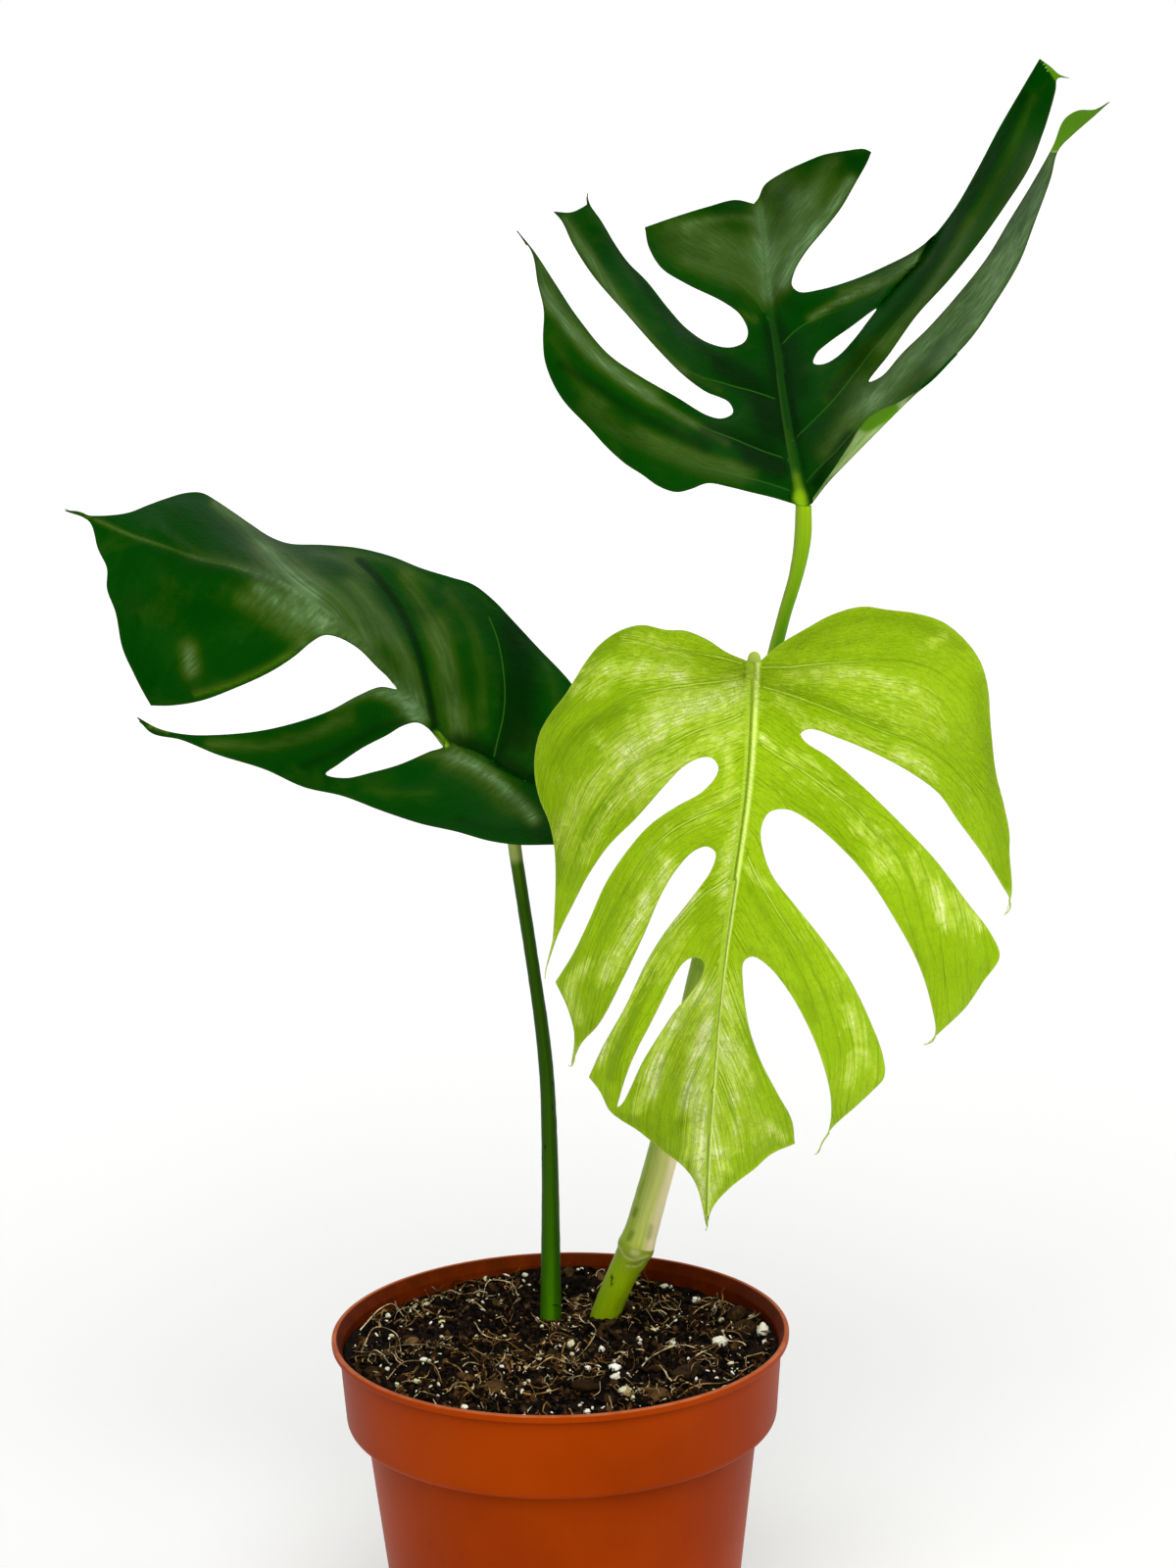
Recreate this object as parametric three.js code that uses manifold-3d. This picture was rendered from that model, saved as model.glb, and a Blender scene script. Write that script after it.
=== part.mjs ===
// A potted monstera sierrana: three leaves on their petioles, a short stem, soil and a nursery pot.
// Millimetres, +Z up, origin at the centre of the pot's base. The plant is seen from -Y.

import * as THREE from 'three';
import * as BufferGeometryUtils from 'three/addons/utils/BufferGeometryUtils.js';
import Module from 'manifold-3d';

const wasm = await Module();
wasm.setup();

// The pot: a 15 cm nursery pot.
const RIM_RADIUS = 75;
const POT_HEIGHT = 135;
const POT_WALL = 1.7;
const LIP_HEIGHT = 2.4;
const COLLAR_TOP_RADIUS = 72.6;
const COLLAR_LOW_RADIUS = 70.6;
const COLLAR_DROP = 29.5;
const COLLAR_ROUNDING = 5.2;
const BODY_TOP_RADIUS = 64.6;
const BASE_RADIUS = 52.4;
const BASE_DISC_RADIUS = 34;
const CHANNEL_OUTER_RADIUS = 45.6;
const CHANNEL_HEIGHT = 3;
const DRAIN_HOLES = 8;
const DRAIN_HOLE_RADIUS = 4.2;
const POT_SECTORS = 56;

// The soil.
const SOIL_DROP = 8.5;
const SOIL_MOUND = 3;
const SOIL_SECTORS = 48;
const SOIL_RINGS = 15;
const CRUMB_HEIGHT = 0.9;
const CHIP_COUNT = 42;
const CHIP_REACH = 60;
const CHIP_SEED = 11;
const STEM_CLEARANCE = 9;

// The plant.
const BLADE_THICKNESS = 0.8;
const BLADE_CELL = 21;
const MARGIN_STEP = 14;
const KEEL_HEIGHT = 2.4;
const KEEL_HALF_WIDTH = 2.6;
const STEM_SIDES = 10;
const STEM_STEP = 9;
const BURIED_DEPTH = 26;
const SEAT_GAP = 0.35;

// The sight frame. The plant's curves are given as sights [u, v], in picture points of a frame 1200 wide
// and 1600 high, taken from one viewpoint, and a depth: how far behind the pot's axis the point is, in mm.
const VIEW_EYE = new THREE.Vector3(12.5, -1036, 528);
const VIEW_PITCH = THREE.MathUtils.degToRad(11.5);
const VIEW_ROLL = THREE.MathUtils.degToRad(-1.1);
const VIEW_FOCAL = 3400;
const VIEW_CENTRE = [600, 800];
const SIGHT_SIZE = 0.31;

const viewForward = new THREE.Vector3(0, Math.cos(VIEW_PITCH), -Math.sin(VIEW_PITCH));
const viewLevelUp = new THREE.Vector3(0, Math.sin(VIEW_PITCH), Math.cos(VIEW_PITCH));
const viewRight = new THREE.Vector3(1, 0, 0).multiplyScalar(Math.cos(VIEW_ROLL))
  .addScaledVector(viewLevelUp, Math.sin(VIEW_ROLL));
const viewUp = viewLevelUp.clone().multiplyScalar(Math.cos(VIEW_ROLL))
  .addScaledVector(new THREE.Vector3(1, 0, 0), -Math.sin(VIEW_ROLL));

// The point at a depth on the line of sight through [u, v].
function sighted(u, v, depth) {
  const ray = viewForward.clone()
    .addScaledVector(viewRight, (u - VIEW_CENTRE[0]) / VIEW_FOCAL)
    .addScaledVector(viewUp, -(v - VIEW_CENTRE[1]) / VIEW_FOCAL);
  return VIEW_EYE.clone().addScaledVector(ray, (depth - VIEW_EYE.y) / ray.y);
}

// Stem and petioles: [u, v, depth, radius] along their middle lines.
const stemLine = [
  [620, 1346, 29, 4.9], [631, 1318, 28, 4.8], [642, 1294, 28, 5.0], [649, 1280, 28, 5.7],
  [656, 1257, 28, 5.5], [666, 1215, 28, 5.3], [677, 1175, 27, 5.2], [694, 1100, 26, 4.8],
  [709, 1020, 25, 4.1], [722, 955, 24, 3.4], [746, 850, 23, 2.7], [770, 750, 22, 2.3],
  [790, 667, 21, 2.15], [802, 622, 20, 2.1], [812, 588, 20, 2.3], [819, 550, 20, 2.8], [820, 516, 20, 2.6],
];
const NODE_RING_SIGHT = 1268;
const youngPetioleLine = [
  [716, 985, 20, 1.7], [724, 940, 18, 2.0], [738, 870, 13, 2.0], [752, 790, 2, 2.0],
  [762, 725, -12, 2.0], [768, 690, -22, 2.1], [769.5, 674, -28, 2.1], [769.5, 671, -32, 1.9],
];
const leftPetioleLine = [
  [562, 1347, 29, 3.5], [562, 1290, 30, 3.1], [561, 1180, 31, 2.6], [558, 1100, 32, 2.35],
  [553, 1050, 32, 2.2], [546, 1000, 33, 2.15], [533, 915, 34, 2.15], [525, 862, 35, 2.2],
  [523, 836, 35.5, 2.5], [528, 815, 35, 2.6], [534, 801, 32, 2.4],
];

// Each blade: its margin in runs between corners, its closed slots, its midrib and its depth marks.
const youngLeaf = {
  margin: [
    [[764, 675], [742, 666], [722, 653], [700, 644], [680, 643], [655, 638], [632, 644], [612, 658],
      [598, 675], [588, 691], [577, 709], [561, 730], [551, 748], [546, 770], [546, 793], [551, 816],
      [560, 838], [565, 860], [567, 885], [566, 930], [563, 966], [557, 990]],
    [[557, 990], [569, 955], [585, 922], [600, 893], [620, 864], [650, 834], [680, 800], [698, 782],
      [716, 773], [727, 774], [733, 783], [730, 793], [715, 809], [690, 823], [663, 842], [640, 868],
      [618, 901], [600, 942], [585, 973], [567, 1002]],
    [[567, 1002], [579, 1028], [586, 1056], [583, 1087]],
    [[583, 1087], [593, 1065], [611, 1045], [635, 1000], [655, 958], [675, 912], [692, 885], [709, 868],
      [722, 864], [730, 870], [726, 887], [705, 917], [680, 949], [660, 981], [638, 1027], [614, 1070],
      [601, 1099]],
    [[601, 1099], [612, 1113], [622, 1133], [634, 1143], [650, 1153], [675, 1173], [697, 1190], [710, 1208],
      [721, 1252]],
    [[721, 1252], [728, 1231], [745, 1212], [770, 1193], [787, 1178], [811, 1167]],
    [[811, 1167], [808, 1143], [793, 1115], [776, 1082], [764, 1047], [758, 1005], [759, 981], [768, 976],
      [784, 986], [805, 1012], [824, 1046], [839, 1083], [848, 1122], [846, 1152], [833, 1178]],
    [[833, 1178], [848, 1152], [872, 1130], [890, 1113], [902, 1099], [901, 1078], [888, 1042], [866, 997],
      [838, 957], [810, 922], [788, 893], [778, 865], [777, 844], [785, 829], [803, 826], [825, 837],
      [855, 862], [885, 895], [913, 938], [936, 981], [949, 1020], [954, 1056], [945, 1066]],
    [[945, 1066], [960, 1052], [985, 1028], [1003, 1002], [1020, 976], [1012, 954], [985, 918],
      [955, 878], [920, 841], [880, 802], [845, 772], [822, 757], [817, 749], [826, 744], [855, 753],
      [893, 769], [930, 789], [958, 810], [978, 838], [1003, 872], [1022, 903], [1030, 918], [1026, 932]],
    [[1026, 932], [1032, 912], [1030, 870], [1030, 850], [1024, 820], [1016, 788], [1011, 742],
      [1008, 702], [1000, 675], [984, 653], [962, 635], [935, 626], [905, 622], [880, 619], [850, 627],
      [820, 643], [795, 658], [775, 675]],
    [[775, 675], [770, 677], [764, 675]],
  ],
  slots: [
    [[630, 1130], [633, 1117], [641, 1092], [650, 1071], [663, 1046], [677, 1018], [687, 998], [697, 983],
      [707, 977], [716, 979], [719, 985], [715, 998], [704, 1014], [690, 1030], [672, 1057], [655, 1085],
      [643, 1111], [635, 1126]],
  ],
  midrib: [[769, 677], [768, 720], [764, 790], [757, 850], [745, 930], [735, 1010], [727, 1110],
    [722, 1200], [721, 1248]],
  marks: [
    [769, 677, -34], [768, 720, -37], [764, 790, -43], [757, 850, -45], [745, 930, -46], [735, 1010, -45],
    [727, 1110, -42], [722, 1200, -37], [721, 1252, -33],
    [655, 638, -20], [700, 644, -25], [600, 671, -17], [546, 780, -13], [566, 900, -16], [557, 990, -17],
    [650, 740, -37], [610, 800, -29], [722, 770, -44], [650, 834, -34], [600, 893, -25],
    [735, 830, -45], [680, 880, -40], [640, 945, -33], [567, 1002, -20], [583, 1087, -20],
    [690, 960, -42], [640, 1060, -33], [601, 1099, -24], [634, 1143, -27],
    [675, 1173, -31], [690, 1100, -39], [811, 1167, -25], [775, 1085, -37], [760, 1000, -43],
    [770, 930, -44], [830, 985, -37], [880, 1060, -27], [902, 1099, -21], [833, 1178, -19], [848, 1122, -26],
    [790, 790, -43], [880, 850, -36], [940, 930, -29], [1020, 976, -17], [945, 1066, -17],
    [860, 690, -38], [940, 700, -32], [1010, 730, -20], [984, 653, -18], [880, 619, -22], [960, 810, -27],
    [1026, 932, -12], [795, 658, -28],
  ],
};

const leftLeaf = {
  margin: [
    [[66, 521], [80, 522], [93, 526], [112, 526], [132, 523], [150, 516], [172, 508], [190, 503],
      [206, 503], [222, 512], [238, 523], [255, 535], [275, 548], [295, 555], [330, 556], [365, 559],
      [400, 568], [430, 580], [460, 589], [482, 596], [502, 611], [525, 635], [550, 662], [582, 696],
      [602, 727], [609, 760], [604, 786], [590, 799], [565, 802], [537, 801]],
    [[537, 801], [562, 806], [585, 810], [600, 824], [600, 844], [586, 858], [566, 862]],
    [[566, 862], [530, 862], [500, 858], [465, 848], [430, 840], [390, 827], [350, 812], [310, 803],
      [270, 785], [222, 770], [185, 755], [155, 748], [140, 732]],
    [[140, 732], [162, 744], [190, 750], [225, 750], [265, 746], [300, 738], [335, 726], [365, 710],
      [388, 701], [406, 703], [399, 694], [385, 681], [366, 662], [345, 650], [331, 648], [318, 655],
      [300, 670], [275, 686], [240, 702], [205, 715], [175, 720], [154, 720]],
    [[154, 720], [146, 706], [137, 688], [125, 661], [118, 625], [109, 600], [109, 580], [100, 560],
      [91, 532], [66, 521]],
  ],
  slots: [
    [[332, 790], [345, 780], [370, 763], [395, 750], [412, 740], [427, 737], [441, 746], [453, 761],
      [438, 767], [408, 780], [380, 788], [352, 794]],
  ],
  midrib: [[88, 527], [130, 544], [200, 568], [245, 577], [280, 590], [320, 614], [370, 655], [410, 700],
    [440, 735], [466, 764], [500, 784], [536, 800]],
  marks: [
    [565, 803, 30], [537, 801, 32], [500, 784, 33], [466, 764, 35], [440, 735, 37], [410, 700, 39], [370, 655, 41],
    [320, 614, 44], [245, 577, 48], [200, 568, 50], [150, 552, 52], [93, 528, 56], [66, 521, 58],
    [582, 696, 68], [550, 662, 80], [525, 635, 88], [482, 596, 98], [430, 580, 103], [390, 566, 106],
    [330, 556, 108], [290, 554, 105], [255, 535, 101], [206, 503, 96], [180, 505, 88], [140, 521, 70],
    [112, 526, 62], [606, 760, 44], [602, 727, 56], [600, 786, 34], [450, 650, 66], [500, 700, 57],
    [545, 745, 46], [300, 580, 70], [400, 620, 76],
    [104, 565, 50], [109, 590, 44], [118, 625, 36], [137, 688, 20], [154, 720, 12], [210, 713, 14],
    [275, 686, 22], [320, 653, 32], [406, 703, 37], [200, 640, 36], [260, 640, 36],
    [335, 726, 18], [250, 748, 2], [140, 732, -10], [222, 770, -6], [310, 803, -4],
    [332, 790, 2], [412, 740, 26], [453, 761, 31], [350, 812, -6], [430, 840, -9], [500, 858, -8],
    [566, 862, -3], [600, 840, 4], [596, 820, 16], [470, 800, 17], [430, 805, 8], [530, 835, 12],
  ],
};

const topLeaf = {
  margin: [
    [[810, 514], [790, 508], [765, 502], [745, 497], [722, 493], [705, 499], [690, 502], [672, 496],
      [655, 484], [638, 473], [620, 457], [600, 435], [577, 411], [565, 392], [556, 368], [554, 345],
      [555, 316], [549, 288], [543, 258], [528, 236]],
    [[528, 236], [545, 257], [567, 290], [590, 325], [620, 361], [650, 382], [690, 405], [722, 424],
      [737, 427], [748, 421], [744, 410], [720, 399], [697, 382], [670, 355], [640, 321], [605, 281],
      [585, 250], [573, 225], [565, 216]],
    [[565, 216], [582, 217], [592, 213], [600, 207], [599, 198]],
    [[599, 198], [602, 209], [613, 225], [628, 250], [641, 268], [660, 287], [682, 315], [700, 335],
      [722, 350], [745, 355], [760, 349], [763, 338], [755, 321], [738, 308], [700, 289], [675, 273],
      [662, 252], [658, 232]],
    [[658, 232], [690, 221], [722, 211], [750, 204], [769, 208]],
    [[769, 208], [774, 202], [780, 189], [797, 177], [820, 166], [840, 158], [862, 154], [882, 152],
      [889, 155]],
    [[889, 155], [885, 165], [872, 188], [858, 212], [840, 235], [822, 257], [811, 276], [808, 291],
      [816, 298], [836, 296], [870, 286], [905, 271], [935, 255], [955, 238], [975, 212], [998, 172],
      [1020, 130], [1042, 92], [1061, 60]],
    [[1061, 60], [1072, 68], [1081, 76], [1092, 80]],
    [[1092, 80], [1079, 80], [1077, 92], [1064, 135], [1050, 170], [1025, 210], [997, 250], [968, 286],
      [935, 322], [908, 360], [886, 390], [900, 384], [920, 361], [950, 332], [980, 298], [1008, 262],
      [1030, 225], [1055, 184], [1074, 150], [1086, 122], [1100, 113], [1118, 112], [1131, 105]],
    [[1131, 105], [1118, 117], [1096, 136], [1080, 153], [1072, 182], [1056, 226], [1040, 268],
      [1015, 310], [990, 346], [955, 382], [925, 411], [900, 436], [868, 468], [845, 492], [828, 514]],
    [[828, 514], [819, 518], [810, 514]],
  ],
  slots: [
    [[830, 371], [833, 361], [845, 350], [866, 335], [895, 314], [884, 330], [872, 346], [855, 364],
      [840, 372]],
  ],
  midrib: [[819, 516], [810, 470], [803, 430], [797, 390], [793, 360], [787, 325], [783, 300], [781, 270],
    [779, 240], [775, 212]],
  marks: [
    [819, 516, 20], [810, 470, 38], [803, 430, 56], [797, 390, 75], [793, 360, 90], [787, 325, 108],
    [783, 300, 121], [779, 240, 148], [775, 212, 162], [773, 200, 164],
    [528, 236, 72], [555, 316, 50], [554, 350, 43], [565, 392, 38], [600, 435, 32], [655, 484, 24],
    [690, 502, 20], [722, 493, 22], [765, 502, 20], [800, 511, 19],
    [590, 325, 58], [650, 382, 54], [722, 424, 58], [748, 421, 62], [620, 410, 44], [700, 460, 36],
    [720, 399, 67], [697, 382, 65], [670, 355, 68], [640, 321, 78], [605, 281, 90], [565, 216, 104],
    [599, 198, 116], [613, 225, 110], [660, 287, 104], [700, 335, 97], [745, 355, 96], [763, 338, 100],
    [738, 308, 106], [700, 289, 114], [662, 252, 126], [658, 232, 132], [722, 211, 144], [769, 208, 162],
    [720, 260, 130], [797, 177, 156], [840, 158, 148], [889, 155, 138], [858, 212, 130], [822, 257, 120],
    [808, 291, 112], [836, 296, 106], [880, 282, 106], [935, 255, 104], [975, 212, 100],
    [1020, 130, 98], [1061, 60, 100], [1092, 80, 94], [1064, 135, 84], [1025, 210, 76], [968, 286, 68],
    [908, 360, 58], [886, 390, 56], [830, 371, 78], [860, 345, 82], [872, 346, 74], [895, 314, 82],
    [920, 361, 56], [950, 332, 56], [1008, 262, 60], [1074, 150, 62], [1131, 105, 60],
    [1080, 153, 58], [1056, 226, 40], [1015, 310, 26], [955, 382, 15], [900, 436, 12], [845, 492, 15],
    [870, 420, 38],
  ],
};

// A repeatable random draw from 0 to 1.
function seededRandom(seed) {
  let state = seed;
  return () => {
    state = (state * 1664525 + 1013904223) % 4294967296;
    return state / 4294967296;
  };
}

// Smooth noise from -1 to 1 on a lattice of whole numbers.
function latticeValue(i, j) {
  const mixed = Math.sin(i * 127.1 + j * 311.7) * 43758.5453;
  return 2 * (mixed - Math.floor(mixed)) - 1;
}

function smoothNoise(x, y) {
  const i = Math.floor(x);
  const j = Math.floor(y);
  const s = THREE.MathUtils.smoothstep(x - i, 0, 1);
  const t = THREE.MathUtils.smoothstep(y - j, 0, 1);
  const low = THREE.MathUtils.lerp(latticeValue(i, j), latticeValue(i + 1, j), s);
  const high = THREE.MathUtils.lerp(latticeValue(i, j + 1), latticeValue(i + 1, j + 1), s);
  return THREE.MathUtils.lerp(low, high, t);
}

// Geometry from points and triangles of point numbers.
function geometryFrom(points, triangles) {
  const geometry = new THREE.BufferGeometry();
  geometry.setAttribute('position', new THREE.Float32BufferAttribute(points.flatMap((p) => [p.x, p.y, p.z]), 3));
  geometry.setIndex(triangles.flat());
  return geometry;
}

// Shared corners merged and empty triangles dropped, ready for joins and cuts.
function solidFrom(geometry) {
  const bare = geometry.clone();
  bare.deleteAttribute('normal');
  bare.deleteAttribute('uv');
  const merged = BufferGeometryUtils.mergeVertices(bare, 1e-4);
  const corners = [];
  for (let k = 0; k < merged.index.count; k += 3) {
    const [a, b, c] = [0, 1, 2].map((n) => merged.index.getX(k + n));
    if (a !== b && b !== c && c !== a) corners.push(a, b, c);
  }
  return new wasm.Manifold(new wasm.Mesh({
    numProp: 3,
    vertProperties: new Float32Array(merged.attributes.position.array),
    triVerts: new Uint32Array(corners),
  }));
}

function geometryOf(solid) {
  const mesh = solid.getMesh();
  const geometry = new THREE.BufferGeometry();
  geometry.setAttribute('position', new THREE.BufferAttribute(mesh.vertProperties, 3));
  geometry.setIndex(new THREE.BufferAttribute(mesh.triVerts, 1));
  return geometry;
}

// The largest body left by a cut, without loose scraps.
function largestBody(solid) {
  return solid.decompose().reduce((best, body) => (body.volume() > best.volume() ? body : best));
}

// A smooth surface through scattered marks [u, v, depth]: the thin-plate spline.
function depthField(marks) {
  const count = marks.length;
  const size = count + 3;
  const scale = 0.01;
  const kernel = (du, dv) => {
    const square = (du * du + dv * dv) * scale * scale;
    return square > 0 ? 0.5 * square * Math.log(square) : 0;
  };
  const rows = Array.from({ length: size }, () => new Float64Array(size + 1));
  marks.forEach(([u, v, depth], i) => {
    marks.forEach(([p, q], j) => {
      rows[i][j] = kernel(u - p, v - q);
    });
    [1, u * scale, v * scale].forEach((value, k) => {
      rows[i][count + k] = value;
      rows[count + k][i] = value;
    });
    rows[i][size] = depth;
  });
  for (let pivot = 0; pivot < size; pivot += 1) {
    let best = pivot;
    for (let row = pivot + 1; row < size; row += 1) {
      if (Math.abs(rows[row][pivot]) > Math.abs(rows[best][pivot])) best = row;
    }
    [rows[pivot], rows[best]] = [rows[best], rows[pivot]];
    for (let row = 0; row < size; row += 1) {
      if (row === pivot) continue;
      const factor = rows[row][pivot] / rows[pivot][pivot];
      for (let column = pivot; column <= size; column += 1) rows[row][column] -= factor * rows[pivot][column];
    }
  }
  const weights = rows.map((row, k) => row[size] / row[k]);
  return (u, v) => {
    let depth = weights[count] + weights[count + 1] * u * scale + weights[count + 2] * v * scale;
    marks.forEach(([p, q], k) => {
      depth += weights[k] * kernel(u - p, v - q);
    });
    return depth;
  };
}

// Evenly spaced sights along a smooth curve through the given ones.
function smoothSights(sights, step, closed = false) {
  const knots = sights.map(([u, v]) => new THREE.Vector3(u, v, 0));
  const curve = new THREE.CatmullRomCurve3(knots, closed, 'centripetal');
  const count = Math.max(2, Math.round(curve.getLength() / step));
  return curve.getSpacedPoints(count).slice(0, -1).map((p) => [p.x, p.y]);
}

function segmentDistance(u, v, from, to) {
  const du = to[0] - from[0];
  const dv = to[1] - from[1];
  const square = du * du + dv * dv;
  const t = THREE.MathUtils.clamp(((u - from[0]) * du + (v - from[1]) * dv) / square, 0, 1);
  return { distance: Math.hypot(u - from[0] - t * du, v - from[1] - t * dv), t };
}

// Distance from a sight to a line of sights, and how far along the line the nearest place is, from 0 to 1.
function lineDistance(u, v, line) {
  let nearest = { distance: Infinity, along: 0 };
  for (let k = 0; k + 1 < line.length; k += 1) {
    const { distance, t } = segmentDistance(u, v, line[k], line[k + 1]);
    if (distance < nearest.distance) nearest = { distance, along: (k + t) / (line.length - 1) };
  }
  return nearest;
}

function loopDistance(u, v, loop) {
  return lineDistance(u, v, [...loop, loop[0]]).distance;
}

function insideLoop(u, v, loop) {
  let inside = false;
  for (let k = 0, last = loop.length - 1; k < loop.length; last = k, k += 1) {
    const [pu, pv] = loop[k];
    const [qu, qv] = loop[last];
    if ((pv > v) !== (qv > v) && u < ((qu - pu) * (v - pv)) / (qv - pv) + pu) inside = !inside;
  }
  return inside;
}

// Edges are flipped until no triangle has a better neighbour, with the loops' own edges kept.
function improveTriangles(sights, triangles) {
  const turn = (a, b, c) => (b[0] - a[0]) * (c[1] - a[1]) - (b[1] - a[1]) * (c[0] - a[0]);
  const inCircle = (a, b, c, d) => {
    const [ax, ay, bx, by, cx, cy] = [a, b, c].flatMap((p) => [p[0] - d[0], p[1] - d[1]]);
    return (ax * ax + ay * ay) * (bx * cy - cx * by) - (bx * bx + by * by) * (ax * cy - cx * ay)
      + (cx * cx + cy * cy) * (ax * by - bx * ay);
  };
  for (let round = 0; round < 60; round += 1) {
    const owner = new Map();
    triangles.forEach((tri, index) => tri.forEach((a, k) => owner.set(`${a}_${tri[(k + 1) % 3]}`, index)));
    const touched = new Set();
    let flips = 0;
    for (let index = 0; index < triangles.length; index += 1) {
      for (let k = 0; k < 3 && !touched.has(index); k += 1) {
        const [a, b, c] = [0, 1, 2].map((n) => triangles[index][(k + n) % 3]);
        const other = owner.get(`${b}_${a}`);
        if (other === undefined || touched.has(other)) continue;
        const d = triangles[other].find((p) => p !== a && p !== b);
        const [pa, pb, pc, pd] = [a, b, c, d].map((p) => sights[p]);
        if (turn(pa, pd, pc) <= 1e-6 || turn(pd, pb, pc) <= 1e-6) continue;
        if (inCircle(pa, pb, pc, pd) <= 1e-6) continue;
        triangles[index] = [a, d, c];
        triangles[other] = [d, b, c];
        touched.add(index).add(other);
        flips += 1;
      }
    }
    if (flips === 0) break;
  }
}

// A blade's sights and triangles: its margin and slots, its midrib rows, and cells between them.
function bladeMesh(leaf) {
  const margin = leaf.margin.flatMap((run) => smoothSights(run, MARGIN_STEP));
  const slots = leaf.slots.map((slot) => smoothSights(slot, MARGIN_STEP, true));
  const loops = [margin, ...slots];
  const clear = (u, v, distance) => insideLoop(u, v, margin)
    && !slots.some((slot) => insideLoop(u, v, slot))
    && loops.every((loop) => loopDistance(u, v, loop) > distance);
  const inner = [];
  const rib = smoothSights(leaf.midrib, MARGIN_STEP);
  const ribHalf = KEEL_HALF_WIDTH / SIGHT_SIZE;
  rib.forEach(([u, v], k) => {
    const [nextU, nextV] = rib[Math.min(k + 1, rib.length - 1)];
    const [lastU, lastV] = rib[Math.max(k - 1, 0)];
    const across = new THREE.Vector2(-(nextV - lastV), nextU - lastU).normalize();
    const half = ribHalf * (1 - 0.5 * (k / rib.length));
    [-half, 0, half].forEach((side) => {
      const p = [u + across.x * side, v + across.y * side];
      if (clear(...p, side === 0 ? 4 : 6)) inner.push(p);
    });
  });
  const nudge = seededRandom(3);
  const us = margin.map(([u]) => u);
  const vs = margin.map(([, v]) => v);
  const rowHeight = BLADE_CELL * Math.sqrt(3) / 2;
  for (let row = 0, v = Math.min(...vs); v < Math.max(...vs); row += 1, v += rowHeight) {
    for (let u = Math.min(...us) + (row % 2) * BLADE_CELL / 2; u < Math.max(...us); u += BLADE_CELL) {
      const p = [u + nudge() * 2, v + nudge() * 2];
      if (clear(...p, BLADE_CELL * 0.42) && lineDistance(...p, rib).distance > ribHalf + 8) inner.push(p);
    }
  }
  const flat = (p) => new THREE.Vector2(p[0], -p[1]);
  const holes = [...slots, ...inner.map((p) => [p])];
  const faces = THREE.ShapeUtils.triangulateShape(margin.map(flat), holes.map((loop) => loop.map(flat)));
  const sights = [...margin, ...slots.flat(), ...inner];
  const upward = sights.map(([u, v]) => [u, -v]);
  const triangles = faces.map(([a, b, c]) => {
    const [pa, pb, pc] = [a, b, c].map((p) => upward[p]);
    const area = (pb[0] - pa[0]) * (pc[1] - pa[1]) - (pb[1] - pa[1]) * (pc[0] - pa[0]);
    return area > 0 ? [a, b, c] : [a, c, b];
  });
  improveTriangles(upward, triangles);
  return { sights, triangles };
}

// The blade as a thin closed sheet with a keel under its midrib. The same triangles make both faces.
function bladeGeometry(leaf, swell = 0) {
  const { sights, triangles } = bladeMesh(leaf);
  const depthAt = depthField(leaf.marks);
  const middle = sights.map(([u, v]) => sighted(u, v, depthAt(u, v)));
  const normals = middle.map(() => new THREE.Vector3());
  triangles.forEach(([a, b, c]) => {
    const normal = middle[b].clone().sub(middle[a]).cross(middle[c].clone().sub(middle[a]));
    [a, b, c].forEach((p) => normals[p].add(normal));
  });
  normals.forEach((normal) => normal.normalize());
  const edges = new Set(triangles.flatMap((tri) => tri.map((a, k) => `${a}_${tri[(k + 1) % 3]}`)));
  const rimEdges = [...edges].map((edge) => edge.split('_').map(Number))
    .filter(([a, b]) => !edges.has(`${b}_${a}`));
  const outward = new Map();
  rimEdges.forEach(([a, b]) => {
    const side = middle[b].clone().sub(middle[a]).cross(normals[a]).normalize();
    [a, b].forEach((p) => outward.set(p, side.clone().add(outward.get(p) ?? new THREE.Vector3())));
  });
  if (swell > 0) outward.forEach((side, p) => middle[p].addScaledVector(side.normalize(), swell));
  const half = BLADE_THICKNESS / 2 + swell;
  const rib = smoothSights(leaf.midrib, MARGIN_STEP);
  const keels = sights.map(([u, v]) => {
    const { distance, along } = lineDistance(u, v, rib);
    const width = (KEEL_HALF_WIDTH / SIGHT_SIZE) * (1 - 0.5 * along);
    return KEEL_HEIGHT * (1 - 0.75 * along) * Math.max(0, 1 - distance / width);
  });
  const upper = middle.map((p, k) => p.clone().addScaledVector(normals[k], half));
  const under = middle.map((p, k) => p.clone().addScaledVector(normals[k], -half - keels[k]));
  const count = middle.length;
  const faces = triangles.flatMap(([a, b, c]) => [[a, b, c], [count + a, count + c, count + b]]);
  rimEdges.forEach(([a, b]) => faces.push([count + a, count + b, b], [count + a, b, a]));
  return geometryFrom([...upper, ...under], faces);
}

// A line of [point, radius], smoothed and evenly spaced.
function smoothLine(line) {
  const knots = line.map(([u, v, depth]) => sighted(u, v, depth));
  const curve = new THREE.CatmullRomCurve3(knots, false, 'centripetal');
  const count = Math.max(4, Math.round(curve.getLength() / STEM_STEP));
  return Array.from({ length: count + 1 }, (_, k) => {
    const t = curve.getUtoTmapping(k / count);
    const place = t * (line.length - 1);
    const index = Math.min(Math.floor(place), line.length - 2);
    const blend = THREE.MathUtils.smoothstep(place - index, 0, 1);
    return { point: curve.getPoint(t), radius: THREE.MathUtils.lerp(line[index][3], line[index + 1][3], blend) };
  });
}

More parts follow.
